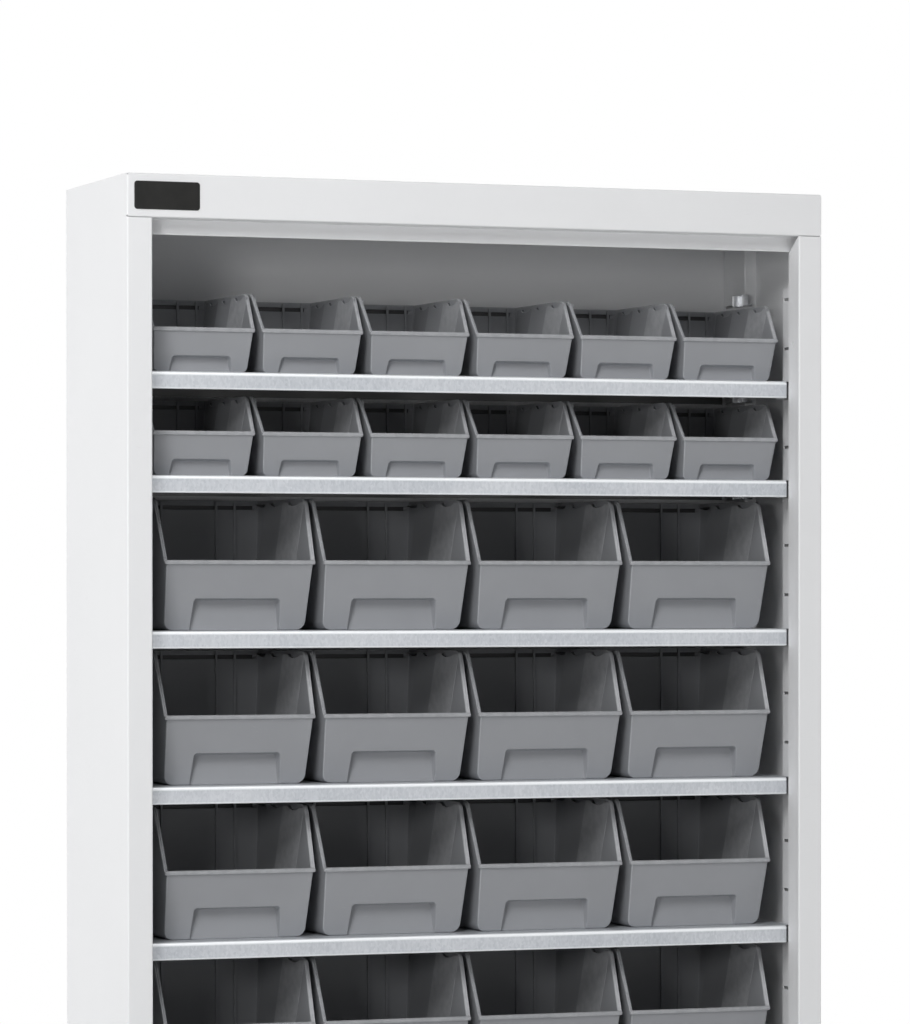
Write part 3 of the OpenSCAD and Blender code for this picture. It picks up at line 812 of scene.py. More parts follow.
@dataclass(frozen=True)
class BinSizes:
    """Sizes of one picking bin in millimetres. It stands on Z = 0, its front at Y = 0, centred on X."""

    width: float
    length: float
    height: float
    front_height: float
    rise: float
    lean: float
    foot_radius: float
    recess_width: float
    recess_height: float
    rim_over: float
    pad_start: float
    pad_pitch: float
    pad_height: float
    rib_edge: float
    wall: float = 2.0
    rim_height: float = 4.0
    rim_bead: float = 0.8
    rim_radius: float = 12.0
    corner_radius: float = 1.2
    side_taper: float = 5.6
    plan_taper: float = 1.5
    back_taper: float = 3.0
    recess_in: float = 3.0
    recess_flare: float = 2.0
    recess_radius: float = 3.0
    pad_gap: float = 2.0
    pad_drop: float = 3.4
    pad_end: float = 9.0
    pad_cut: float = 1.2
    # edge values of the pads' faces: painted light on the first pad, painted shade on the two behind it
    pad_light_and_shade: tuple[float, float, float] = (1.0, -0.06, -0.3)
    dip_share: float = 0.27
    dip_depth: float = 3.4
    rib_width: float = 2.2
    rib_step: float = 19.5
    rib_drop: float = 1.4
    slot_height: float = 4.0
    slot_drop: float = 5.1
    slot_in: float = 5.0
    hook_sheet: float = 1.1
    hook_past: float = 1.5
    hook_sunk: float = 0.5
    hook_under: float = 2.5


SMALL_BIN = BinSizes(
    width=109.183, length=166.0, height=78.2, front_height=42.8, rise=31.5, lean=13.0, foot_radius=6.0,
    recess_width=58.0, recess_height=15.0, rim_over=1.5, pad_start=35.5, pad_pitch=41.5, pad_height=3.0,
    rib_edge=4.0,
)
MEDIUM_BIN = BinSizes(
    width=158.4, length=183.0, height=128.8, front_height=68.0, rise=34.0, lean=20.0, foot_radius=9.0,
    recess_width=86.0, recess_height=30.0, rim_over=2.0, pad_start=50.0, pad_pitch=56.0, pad_height=4.0,
    rib_edge=20.0,
)


# ---------------------------------------------------------------------------
# Picking bins


class Run(Enum):
    """The runs and corners that the outline of a bin goes through, anticlockwise from above."""

    FRONT = 0
    FRONT_RIGHT = 1
    RIGHT = 2
    BACK_RIGHT = 3
    BACK = 4
    BACK_LEFT = 5
    LEFT = 6
    FRONT_LEFT = 7


class PickingBin:
    """An open-front picking bin: a tapered tub with a flanged rim and a finger recess.

    Pads on its side walls, ribs on its back wall and a lip behind its hanging slot are
    plates of their own in the same mesh.
    """

    RECESS_OFFSETS = np.array([-3.5, -1.4, -0.8, -0.35, 0.0, 0.35, 0.8, 1.4, 2.4, 3.6])
    FOOT_ANGLES = np.radians([12.0, 24.0, 36.0, 48.0, 58.0, 68.0, 78.0, 90.0])
    ARC_SHARES = np.linspace(0.0, 1.0, 7)[1:-1]
    UNDER_EDGE = 1.0
    # edge value of the front corners: paler as wear and as a painted highlight
    CORNER_WEAR_AND_HIGHLIGHT = 0.7
    POINTS_UNDER_FLANGE = 5
    # edge value that paints the hanging lip near black as shade
    PAINTED_SHADE_EDGE = -1.0

    def __init__(self, sizes: BinSizes) -> None:
        """Works out the bin's surfaces once, to be placed many times."""
        self.s = sizes
        self.slope = math.atan((sizes.height - sizes.front_height) / (sizes.rise - sizes.rim_over - sizes.wall))
        self.run, self.share = self._stations()
        self.shell = Shell()
        self._tub()
        self._pads()
        self._ribs()
        self._hook()

    def _front_y(self, z: Array) -> Array:
        """Y of the front wall, a straight lean from the foot to the rim."""
        return self.s.rim_over + self.s.lean * (1.0 - z / self.s.front_height)

    def _back_y(self, z: Array) -> Array:
        """Y of the back wall, which draws in towards the foot."""
        return self.s.length - self.s.rim_over - self.s.back_taper * (1.0 - z / self.s.height)

    def _half_width(self, z: Array, rear: float, out: float = 0.0) -> Array:
        """Half the width at a height, out from the body, at the front (rear 0) or the back (rear 1).

        A side wall is a straight slope down to the level of its foot's centre line, and an arc
        about that line under it.
        """
        s = self.s
        level = (np.maximum(z, s.foot_radius) - s.foot_radius) / (s.height + 1.0 - s.foot_radius)
        slope = s.width / 2 - s.rim_over - s.side_taper * (1.0 - level) - s.plan_taper * rear
        radius = s.foot_radius + out
        fall = np.clip(s.foot_radius - z, 0.0, radius)
        return slope + out - radius + np.sqrt(radius**2 - fall**2)

    def _reach(self, out: float) -> float:
        """Radius of the upright corners, which are nearly sharp."""
        return max(self.s.corner_radius + 0.25 * out, 0.5)

    def _rim_z(self, y: Array, drop: float) -> Array:
        """Height of the rim's edge where the body's surface is at y, drawn in by drop.

        The edge runs level along the front, climbs in a straight slope, turns through an arc
        and runs level to the back. Drawing it in moves each run square to itself.
        """
        s = self.s
        shift = math.tan(self.slope / 2)
        centre_y, centre_z = s.rise + s.rim_radius * shift, s.height - s.rim_radius
        radius = s.rim_radius - drop
        start = s.rim_over + s.wall + drop * shift
        climb = s.front_height - drop + (y - start) * math.tan(self.slope)
        arc = centre_z + np.sqrt(np.maximum(radius**2 - (y - centre_y) ** 2, 0.0))
        after = np.where(y < centre_y, arc, s.height - drop)
        turned = np.where(y < centre_y - radius * math.sin(self.slope), climb, after)
        return np.where(y < start, s.front_height - drop, turned)

    def _stations(self) -> tuple[Array, Array]:
        """Lays out the places round the outline.

        A corner's place is a share of its quarter turn, a side's or the back's is a share of
        its straight run, and the front's is a column's number. The sides' places crowd where
        the rim turns out of its slope.

        Returns:
            The run and the share of each place.
        """
        s = self.s
        tangent = s.rim_radius * math.tan(self.slope / 2)
        low, high = s.rise - tangent * math.cos(self.slope), s.rise + tangent
        wanted = np.concatenate([
            s.rim_over + s.wall + np.array([0.0, 1.0, 2.0, 3.2, 5.0]),
            np.linspace(s.rim_over + s.wall + 8.0, low - 1.5, 4),
            np.linspace(low, high, 9),
            high + (s.length - high) * np.array([0.06, 0.2, 0.4, 0.6, 0.8]),
        ])
        z = self._rim_z(wanted, 0.0)
        reach = self._reach(0.0)
        near, far = self._front_y(z) + reach, self._back_y(z) - reach
        side = np.concatenate([[0.0], (wanted - near) / (far - near), [1.0]])
        rear = float(self._half_width(np.array(s.height), 1.0))
        slot_end = 0.5 - (rear - s.wall - s.slot_in) / (rear - reach) / 2
        back = np.concatenate([[0.0], np.linspace(slot_end, 1.0 - slot_end, 7), [1.0]])
        columns = np.arange(2 * (len(self.RECESS_OFFSETS) + 2) + 3, dtype=float)
        shares = {
            Run.FRONT: columns, Run.FRONT_RIGHT: self.ARC_SHARES,
            Run.RIGHT: side, Run.BACK_RIGHT: self.ARC_SHARES,
            Run.BACK: back, Run.BACK_LEFT: self.ARC_SHARES,
            Run.LEFT: side[::-1], Run.FRONT_LEFT: self.ARC_SHARES,
        }
        run = np.concatenate([np.full(len(v), k.value) for k, v in shares.items()])
        return run, np.concatenate(list(shares.values()))

    def _recess_half(self, z: Array, grow: float) -> Array:
        """Half the finger recess's width at a height: upright sides that flare towards the foot."""
        s = self.s
        top = s.recess_height - s.recess_radius
        return s.recess_width / 2 + grow + s.recess_flare * np.clip(1.0 - z / top, 0.0, 1.0)

    def _front_x(self, z: float, limit: float, grow: float) -> Array:
        """X of the front wall's columns, which crowd along both sides of the recess."""
        inside = float(self._recess_half(np.array(z), grow)) - self.RECESS_OFFSETS
        right = np.concatenate([[limit, (limit + inside[0]) / 2], inside])
        return np.concatenate([-right, np.array([-0.5, 0.0, 0.5]) * inside[-1], right[::-1]])

    def _ring(self, z: Array, out: float, grow: float = 0.0) -> Array:
        """One ring round the tub.

        A four-sided outline of straight runs with a small arc at each corner, drawn out from
        the body's walls. Just over the floor the front and the back draw in along a small
        arc. The front is pressed in over the finger recess.

        Args:
            z: height of each place.
            out: distance outwards from the body's surface.
            grow: how much wider and deeper the recess is.

        Returns:
            Points, shape (places, 3).
        """
        reach, under = self._reach(out), self.UNDER_EDGE
        inset = under - np.sqrt(under**2 - np.clip(under - z - out, 0.0, under) ** 2)
        front = self._front_y(z) - out + inset + reach
        back = self._back_y(z) + out - inset - reach
        near, far = self._half_width(z, 0.0, out) - reach, self._half_width(z, 1.0, out) - reach
        x, y = np.zeros_like(z), np.zeros_like(z)
        quarter = math.pi / 2
        arcs = {
            Run.FRONT_RIGHT: (near, front, -quarter), Run.BACK_RIGHT: (far, back, 0.0),
            Run.BACK_LEFT: (-far, back, quarter), Run.FRONT_LEFT: (-near, front, 2 * quarter),
        }
        for run, (cx, cy, start) in arcs.items():
            here = self.run == run.value
            angle = start + self.share[here] * quarter
            x[here], y[here] = cx[here] + reach * np.cos(angle), cy[here] + reach * np.sin(angle)
        sides = np.isin(self.run, (Run.RIGHT.value, Run.LEFT.value))
        way = np.where(self.run == Run.RIGHT.value, 1.0, -1.0)
        x[sides] = (way * (near + self.share * (far - near) + reach))[sides]
        y[sides] = (front + self.share * (back - front))[sides]
        rear = self.run == Run.BACK.value
        x[rear], y[rear] = (far * (1.0 - 2.0 * self.share))[rear], (back + reach)[rear]
        face = self.run == Run.FRONT.value
        x[face] = self._front_x(float(z[face][0]), float(near[face][0]), grow)
        y[face] = self._pressed(x[face], (front - reach)[face], z[face], grow)
        return stack(x, y, z)

    def _pressed(self, x: Array, y: Array, z: Array, grow: float) -> Array:
        """Y of the front wall with the finger recess pressed in.

        The recess's outline is a box with round upper corners. The signed distance to it
        eases the wall from its own plane to the recess's upright one over a narrow band.
        """
        s = self.s
        radius = s.recess_radius + grow
        qx = np.abs(x) - (self._recess_half(z, grow) - radius)
        qz = z - (s.recess_height + grow - radius)
        outside = np.hypot(np.maximum(qx, 0.0), np.maximum(qz, 0.0))
        distance = outside + np.minimum(np.maximum(qx, qz), 0.0) - radius
        plane = s.rim_over + s.lean + s.recess_in + grow
        return y + (1.0 - ease(distance, -0.8, 0.8)) * (np.maximum(y, plane) - y)

    def _rim_ring(self, out: float, drop: float) -> Array:
        """A ring that follows the rim's edge: height and Y of each place are settled together."""
        z = np.full(len(self.run), self.s.front_height)
        for _ in range(40):
            z = 0.5 * z + 0.5 * self._rim_z(self._ring(z, 0.0)[:, 1], drop)
        return self._ring(z, out)

    def _wall_rings(self, top: Array, out: float, shares: Array, grow: float) -> Array:
        """Rings at shares of the way up from the foot's equator to the ring top."""
        base = self.s.foot_radius
        return np.array([self._ring(base + share * (top[:, 2] - base), out, grow) for share in shares])

    def _foot_rings(self, out: float, grow: float) -> Array:
        """Rings round the side walls' feet, down to the floor's plane."""
        base = np.full(len(self.run), self.s.foot_radius)
        falls = (self.s.foot_radius + out) * np.sin(self.FOOT_ANGLES)
        return np.array([self._ring(base - fall, out, grow) for fall in falls])

    def _shares_up(self, top: float, grow: float) -> Array:
        """Shares up a wall whose front ends at the height top, crowded at the recess's upper edge."""
        base = self.s.foot_radius
        edge = self.s.recess_height + grow + np.array([-5.0, -3.4, -2.2, -1.3, -0.7, -0.3, 0.0, 0.3, 0.7, 1.3])
        heights = np.concatenate([edge, np.linspace(edge[-1], top, 6)[1:-1]])
        heights = np.concatenate([[base], heights[heights > base + 0.8]])
        return (heights - base) / (top - base)

    def _rim_profile(self) -> Array:
        """The rim's rounded section from the outer wall, over the flange and the bead, to the inner wall.

        Its columns are the distance outwards and the drop under the rim's edge.
        """
        s = self.s
        corners = np.array([
            [0.0, s.rim_height + 0.6], [0.0, s.rim_height], [s.rim_over, s.rim_height],
            [s.rim_over, s.rim_bead], [0.1, s.rim_bead], [0.1, 0.0], [-s.wall, 0.0], [-s.wall, 2.0],
        ])
        return fillet_path(corners, np.array([0.3, 0.5, 0.7, 0.25, 0.35, 0.6]), 3)

    def _tub(self) -> None:
        """The tub: one profile carried round the outline, up the outside, over the rim and down the inside.

        The rim and the front corners are marked as worn, which also paints a highlight on them. The faces
        of the back wall between two rings are left out on both sides, and the hanging slot's four walls
        join them.
        """
        s = self.s
        rim = np.array([self._rim_ring(out, drop) for out, drop in self._rim_profile()])
        drops = s.slot_drop + np.array([-0.4, 0.0, s.slot_height, s.slot_height + 0.4])
        edge_z = rim[-1][:, 2] + 2.0
        outer_slot = np.array([self._ring(edge_z - drop, 0.0) for drop in drops])[::-1]
        inner_slot = np.array([self._ring(edge_z - drop, -s.wall) for drop in drops])
        low = s.front_height - drops[-1]
        outer = self._wall_rings(outer_slot[0], 0.0, self._shares_up(low, 0.0), 0.0)
        inner = self._wall_rings(inner_slot[-1], -s.wall, self._shares_up(low, s.wall), s.wall)[::-1]
        outer_foot, inner_foot = self._foot_rings(0.0, 0.0)[::-1], self._foot_rings(-s.wall, s.wall)
        rings = [outer_foot, outer, outer_slot, rim, inner_slot, inner, inner_foot]
        starts = np.cumsum([0] + [len(part) for part in rings])
        grid = np.concatenate(rings)
        corner = np.isin(self.run, (Run.FRONT_LEFT.value, Run.FRONT_RIGHT.value))
        edge = np.tile(np.where(corner, self.CORNER_WEAR_AND_HIGHLIGHT, 0.0), (len(grid), 1))
        # the rim is marked 1: paler as wear and as a painted highlight
        edge[starts[3] + self.POINTS_UNDER_FLANGE : starts[4] - 1] = 1.0
        back = np.flatnonzero(self.run == Run.BACK.value)[1:-1]
        hole = np.zeros((len(grid) - 1, grid.shape[1]), bool)
        hole[starts[2] + 1, back[:-1]] = hole[starts[4] + 1, back[:-1]] = True
        index = self.shell.grid(grid, loop=True, edge=edge, hole=hole)
        outer_low, outer_high = index[starts[2] + 1], index[starts[2] + 2]
        inner_high, inner_low = index[starts[4] + 1], index[starts[4] + 2]
        self.shell.join(outer_low[back], inner_low[back], flip=False)
        self.shell.join(outer_high[back], inner_high[back], flip=True)
        for column, turned in ((back[0], True), (back[-1], False)):
            outer_end = np.array([outer_low[column], outer_high[column]])
            inner_end = np.array([inner_low[column], inner_high[column]])
            self.shell.join(outer_end, inner_end, flip=turned)
        self.shell.cap(index[0], flip=True)
        self.shell.cap(index[-1])

    def _pads(self) -> None:
        """Three wedge-shaped pads on each side wall, which stand out towards the back.

        A pad's outline goes along its foot, up, and back along its top edge, which dips
        through a half ellipse in its middle. Its ends lean as the front wall does, its plane
        follows the wall's taper both ways, and its height grows along it from nothing.
        """
        s = self.s
        low, high = s.foot_radius, s.height - s.pad_drop
        tall, rake = high - low, s.lean / s.front_height
        limit = s.length - s.pad_end
        for number in range(3):
            top = s.pad_start + s.pad_pitch * number - rake * (high - s.front_height)
            width = min(s.pad_pitch - s.pad_gap, limit - top)
            turn = np.linspace(0.0, math.pi, 13)
            dip = stack(width / 2 + s.dip_share * width * np.cos(turn), tall - s.dip_depth * np.sin(turn))
            low_end = [[0.0, 0.0], [width, 0.0], [width, tall - s.pad_cut], [width - s.pad_cut, tall]]
            high_end = [[s.pad_cut, tall], [0.0, tall - s.pad_cut]]
            outline = np.concatenate([low_end, dip, high_end])
            outline[:, 0] = np.minimum(outline[:, 0] + rake * (tall - outline[:, 1]), limit - top)
            corner = self._inner_x(low, top)
            up = np.array([self._inner_x(high, top) - corner, 0.0, tall]) / tall
            along = np.array([self._inner_x(low, top + width) - corner, width, 0.0]) / width
            axes = Axes.of((corner, top, low), up, along)
            start = rake * (tall - outline[:, 1])
            lift = s.pad_height * np.clip((outline[:, 0] - start) / width, 0.0, 1.0)
            # each pad's face value paints it lighter or darker as light and shade
            for mirror in (False, True):
                self.shell.plate(
                    outline[::-1, ::-1], axes, 0.4, 0.3, mirror=mirror, lift=lift[::-1], face=s.pad_light_and_shade[number]
                )

    def _inner_x(self, z: float, y: float) -> float:
        """X of the right wall's inner face at a height and a distance from the front."""
        return float(self._half_width(np.array(z), y / self.s.length)) - self.s.wall

    def _ribs(self) -> None:
        """Upright ribs on the inside of the back wall, in pairs near both corners."""
        s = self.s
        low, high = s.wall / 2, s.height - s.rib_drop
        tall = high - low
        y_low, y_high = (float(self._back_y(np.array(z))) - s.wall for z in (low, high))
        reach = float(self._half_width(np.array(s.foot_radius), 1.0)) - s.wall
        outline = np.array([[0.0, 0.0], [s.rib_width, 0.0], [s.rib_width, tall], [0.0, tall]])
        for middle in (reach - s.rib_edge, reach - s.rib_edge - s.rib_step):
            foot = (middle - s.rib_width / 2, y_low, low)
            axes = Axes.of(foot, (1.0, 0.0, 0.0), (0.0, (y_high - y_low) / tall, 1.0))
            for mirror in (False, True):
                self.shell.plate(outline, axes, s.rib_width, 0.35, mirror=mirror)

    def _hook(self) -> None:
        """The hanging lip: a thin plate that comes down from the rim behind the slot, its face painted near
        black as shade.
        """
        s = self.s
        half = float(self._half_width(np.array(s.height), 1.0)) - s.wall - s.slot_in + s.hook_past
        top = s.height - s.rim_height + s.hook_sunk
        foot = s.height - s.slot_drop - s.slot_height - s.hook_under
        outline = np.array([[-half, foot], [half, foot], [half, top], [-half, top]])
        axes = Axes.of((0.0, s.length - 0.1, 0.0), (1.0, 0.0, 0.0), (0.0, 0.0, 1.0))
        self.shell.plate(outline, axes, s.hook_sheet, 0.3, sunk=0.0, face=self.PAINTED_SHADE_EDGE)


@dataclass(frozen=True)
class BinRow:
    """One row of like bins on a shelf or the deck."""

    row: int
    kind: str
    count: int
    pitch: float
    shift: float

    def middles(self) -> Array:
        """X of each bin's middle."""
        return (np.arange(self.count) - (self.count - 1) / 2) * self.pitch + self.shift


@dataclass(frozen=True)
class BinSet:
    """All the rows of bins."""

    sizes: CabinetSizes
    setback: float = 36.0
    clearance: float = 0.2
    rows: tuple[BinRow, ...] = (
        BinRow(0, "small", 6, 110.4833, 2.0),
        BinRow(1, "small", 6, 110.4833, 2.0),
        BinRow(2, "medium", 4, 161.0, 4.0),
        BinRow(3, "medium", 4, 161.0, 4.0),
        BinRow(4, "medium", 4, 161.0, 4.0),
        BinRow(5, "medium", 4, 161.0, 4.0),
    )

    def build(self, finishes: Finishes) -> None:
        """Makes every bin, each riding on its own sliding body."""
        moulds = {"small": PickingBin(SMALL_BIN), "medium": PickingBin(MEDIUM_BIN)}
        for row in self.rows:
            for column, middle in enumerate(row.middles()):
                node = f"{row.kind}_bin_{row.row + 1}_{column + 1}"
                foot = self.sizes.surface(row.row) + self.clearance
                place = (float(middle), self.sizes.front + self.setback, foot)
                piece = moulds[row.kind].shell.build(f"{node}_moulding", place)
                dress(piece, finishes.plastic, Slot.PLASTIC, node, node)


# ---------------------------------------------------------------------------
# Shelves, clips and carcass


@dataclass(frozen=True)
class ShelfSet:
    """The folded zinc-coated shelves, with a hem under each front lip and turned-down ends."""

    sizes: CabinetSizes
    sheet: float = 1.0
    lip_drop: float = 17.2
    lip_back: float = 28.0
    bend: float = 2.5
    hem_bend: float = 0.55
    hem: float = 9.0
    half_lip: float = 335.5
    half_deck: float = 346.5
    shoulder: float = 6.0
    end_drop: float = 5.4
    end_bend: float = 0.9
    rear: float = 108.0
    plain_from_top: float = 4.2
    plain_from_foot: float = 2.2
    # edge value that paints a highlight on the hem
    hem_highlight: float = 0.9
    # edge value that paints shade on the sheet's lower and inner side
    underside_shade: float = -1.0
    bend_steps: int = 6
    end_steps: int = 4

    def build(self, finishes: Finishes) -> None:
        """Makes the five shelves."""
        for row in range(5):
            piece = self._shelf(self.sizes.surface(row)).build(f"shelf_{row + 1}_sheet")
            dress(piece, finishes.zinc, Slot.ZINC_SHEET, "cabinet", f"shelf_{row + 1}")

    def _shelf(self, surface: float) -> Shell:
        """One shelf: up the rear flange, forward along the deck, down the lip and round the hem.

        The ends that are turned down run from the shoulder to the rear bend. The front bend
        and the hem are marked for a painted highlight, the lip's face between them as plain,
        and the sheet's lower and inner side for painted shade.

        Args:
            surface: height of the shelf's upper face.

        Returns:
            The shelf's surfaces.
        """
        top = surface - self.sheet / 2
        front = self.sizes.front + self.lip_back + self.sheet / 2
        foot = surface - self.lip_drop + self.sheet / 2
        shoulder = self.sizes.front + self.lip_back + self.shoulder
        behind = front + 2 * self.hem_bend
        rear = np.array([[self.rear, foot], [self.rear, top], [shoulder, top]])
        deck = fillet_path(rear, np.array([self.bend]), self.bend_steps)
        face = np.array([
            [shoulder - 0.05, top], [front, top], [front, foot], [behind, foot], [behind, foot + self.hem],
        ])
        lip = fillet_path(face, np.array([self.bend, self.hem_bend, self.hem_bend]), self.bend_steps)
        turn = self.bend_steps + 1
        plain = [[front, top - self.plain_from_top], [front, foot + self.plain_from_foot]]
        lip = np.insert(lip, [turn + 1, turn + 1], plain, axis=0)
        end = self.half_deck - self.sheet / 2
        half = np.concatenate([np.full(len(deck), end - self.end_bend), np.full(len(lip), self.half_lip)])
        shell = Shell()
        axes = Axes.of((0.0, 0.0, 0.0), (0.0, 1.0, 0.0), (0.0, 0.0, 1.0))
        path = np.concatenate([deck, lip])
        # edge values on the outer side: a painted highlight on the front bend and the hem
        hem = np.full(2 * turn + 1, self.hem_highlight)
        bent = np.concatenate([np.zeros(len(deck) + 1), np.ones(turn), np.zeros(len(plain)), hem])
        # edge values on the lower and inner side: painted shade
        under = np.full(len(path), self.underside_shade)
        shell.folded_sheet(path, axes, self.sheet, -half, half, edges=(bent, under))
        down = np.array([[end - self.end_bend - 0.1, top], [end, top], [end, surface - self.end_drop]])
        turned = fillet_path(down, np.array([self.end_bend]), self.end_steps)
        forward = Axes.of((0.0, 0.0, 0.0), (1.0, 0.0, 0.0), (0.0, 0.0, 1.0))
        lows, highs = np.full(len(turned), self.bend - self.rear), np.full(len(turned), -shoulder)
        for mirror in (False, True):
            shell.folded_sheet(turned, forward, self.sheet, lows, highs, mirror)
        return shell


@dataclass(frozen=True)
class ClipSet:
    """The bent clips that hook into the uprights' slots, four under each shelf and one spare."""

    sizes: CabinetSizes
    width: float = 26.0
    out: float = 8.0
    sheet: float = 1.5
    bend: float = 1.4
    slot_drop: float = 15.7
    shelf_end: float = 5.4
    tongue: float = 16.0
    tongue_in: float = 6.0
    tongue_sheet: float = 2.4
    front_slot: float = -58.5
    rear_slot: float = 54.0
    spare_step: int = 16

    def build(self, finishes: Finishes) -> None:
        """Makes one piece of clips a shelf, and the spare clip."""
        for row in range(5):
            shell = Shell()
            for y in (self.front_slot, self.rear_slot):
                for mirror in (False, True):
                    self._clip(shell, y, self.sizes.slot_steps[row], mirror)
            node = f"shelf_clips_{row + 1}"
            dress(shell.build(f"{node}_bent"), finishes.clip_metal, Slot.ZINC_CLIP, "cabinet", node)
        spare = Shell()
        self._clip(spare, self.rear_slot, self.spare_step, True)
        dress(spare.build("spare_clip_bent"), finishes.clip_metal, Slot.ZINC_CLIP, "cabinet", "spare_clip")

    def _clip(self, shell: Shell, y: float, step: int, mirror: bool) -> None:
        """One clip against the left upright: a web between two wings, and a tongue through the slot.

        Args:
            shell: takes the clip's surfaces.
            y: the slot's place.
            step: the slot's number, counted up from the deck's.
            mirror: puts it on the right upright instead.
        """
        slot = self.sizes.base - self.slot_drop + step * self.sizes.slot_pitch
        foot, top = slot - self.tongue_sheet / 2, slot + self.slot_drop - self.shelf_end
        rail = -self.sizes.width / 2 + self.sizes.rail
        web, half = rail + self.sheet / 2, (self.width - self.sheet) / 2
        wing = rail + self.out
        corners = np.array([[wing, y + half], [web, y + half], [web, y - half], [wing, y - half]])
        path = fillet_path(corners, np.array([self.bend, self.bend]), 5)
        axes = Axes.of((0.0, 0.0, 0.0), (1.0, 0.0, 0.0), (0.0, 1.0, 0.0))
        shell.folded_sheet(path, axes, self.sheet, np.full(len(path), foot), np.full(len(path), top), mirror)
        tongue = rounded_rectangle(self.tongue_in + self.sheet - 0.2, self.tongue, 1.2, 3)
        middle = rail + (self.sheet - self.tongue_in) / 2
        plane = Axes.of((middle, y, foot), (1.0, 0.0, 0.0), (0.0, 1.0, 0.0))
        shell.plate(tongue, plane, self.tongue_sheet, 0.3, sunk=0.0, mirror=mirror)


@dataclass(frozen=True)
class Carcass:
    """The painted sheet steel of the cabinet, with its badge plate and rivet heads."""

    sizes: CabinetSizes
    painted: tuple[str, ...] = (
        "side_panel_left", "side_panel_right", "header_panel", "back_panel", "base_panel",
        "front_upright_left", "front_upright_right", "rear_upright_left", "rear_upright_right",
    )
    badge: tuple[float, float, float, float] = (65.0, 27.0, 1.0, 3.0)
    badge_in: float = 7.0
    rivet_radius: float = 4.0
    rivet_head: float = 1.0
    rivet_edge: float = 0.3
    shank_radius: float = 2.0
    rivet_inset: float = 9.0
    rivet_foot: float = 26.0
    rivets_up: int = 5
    rivets_across: int = 4

    def build(self, finishes: Finishes, nodes: dict[str, bpy.types.Object]) -> None:
        """Dresses the CAD sheets and makes the badge and the rivets."""
        for name in self.painted:
            nodes[name].data.materials.clear()
            nodes[name].data.materials.append(finishes.paint)
            log.info("%s keeps its CAD sheet, painted", name)
        dress(self._badge_plate(), finishes.badge, Slot.BADGE, "cabinet", "badge_plate")
        dress(self._rivets(), finishes.rivet_metal, Slot.RIVET, "cabinet", "back_rivets")

    def _badge_plate(self) -> bpy.types.Object:
        """The blank badge plate: a rounded outline raised through a soft bevel."""
        width, height, rise, radius = self.badge
        shell = Shell()
        x = -self.sizes.width / 2 + self.badge_in + width / 2
        z = self.sizes.height - self.sizes.header / 2
        axes = Axes.of((x, self.sizes.front, z), (1.0, 0.0, 0.0), (0.0, 0.0, 1.0))
        shell.plate(rounded_rectangle(width, height, radius), axes, rise, 0.7, sunk=0.0)
        return shell.build("badge_plate_blank")

    def _rivet_places(self) -> Array:
        """X and Z of each rivet: up both sides and along the top."""
        s = self.sizes
        z = np.linspace(self.rivet_foot, s.height - self.rivet_foot, self.rivets_up)
        x = s.width / 2 - self.rivet_inset
        across = -s.width / 2 + np.arange(1, self.rivets_across + 1) * s.width / (self.rivets_across + 1)
        return np.concatenate([stack(-x, z), stack(x, z), stack(across, s.height - self.rivet_inset)])

    def _rivets(self) -> bpy.types.Object:
        """Blind rivets: a shank and a domed head, turned about the rivet's axis.

        The head's profile is a low dome, rise * (1 - r^2 / radius^2), over a short upright edge.
        """
        rear = self.sizes.depth / 2 - self.rivet_head
        reach = np.sin(np.radians([90.0, 75.0, 60.0, 45.0, 30.0, 15.0]))
        rise = self.rivet_edge + (self.rivet_head - self.rivet_edge) * (1.0 - reach**2)
        dome = stack(self.rivet_radius * reach, rear + rise)
        shank = [[self.shank_radius, rear - 2.0], [self.shank_radius, rear], [self.rivet_radius, rear]]
        profile = np.concatenate([shank, dome])
        angle = np.linspace(0.0, 2 * math.pi, 24, endpoint=False)
        shell = Shell()
        for x, z in self._rivet_places():
            r = profile[:, :1]
            points = stack(x + r * np.sin(angle), profile[:, 1:], z + r * np.cos(angle))
            index = shell.grid(points, loop=True)
            shell.cap(index[0], flip=True)
            shell.cap(index[-1])
        return shell.build("back_rivet_heads")


# ---------------------------------------------------------------------------
# Studio and camera


@dataclass(frozen=True)
class PhotoCamera:
    """The photograph's view: place in millimetres, turn in degrees, focal length and centre in pixels."""

    place: Point = (-1618.4, -4547.1, 606.5)
    yaw: float = 21.422
    tilt: float = 0.590
    focal: float = 4818.0
    centre: tuple[float, float] = (600.1, 635.5)
    sensor: float = 36.0

    def build(self) -> None:
        """Makes the camera and gives it to the scene."""
        yaw, tilt = math.radians(self.yaw), math.radians(self.tilt)
        ahead = Vector((math.sin(yaw) * math.cos(tilt), math.cos(yaw) * math.cos(tilt), -math.sin(tilt)))
        right = Vector((math.cos(yaw), -math.sin(yaw), 0.0))
        up = right.cross(ahead)
        data = bpy.data.cameras.new("photo_camera")
        data.sensor_width = self.sensor
        data.lens = self.focal * self.sensor / IMAGE_HEIGHT
        data.shift_x = (IMAGE_WIDTH / 2 - self.centre[0]) / IMAGE_HEIGHT
        data.shift_y = (self.centre[1] - IMAGE_HEIGHT / 2) / IMAGE_HEIGHT
        data.clip_end = 60.0
        camera = bpy.data.objects.new("photo_camera", data)
        turn = Matrix((right, up, -ahead)).transposed().to_4x4()
        camera.matrix_world = Matrix.Translation(Vector(self.place) * MM) @ turn
        bpy.context.scene.collection.objects.link(camera)
        bpy.context.scene.camera = camera
        log.info("camera set with a %.1f mm lens", data.lens)


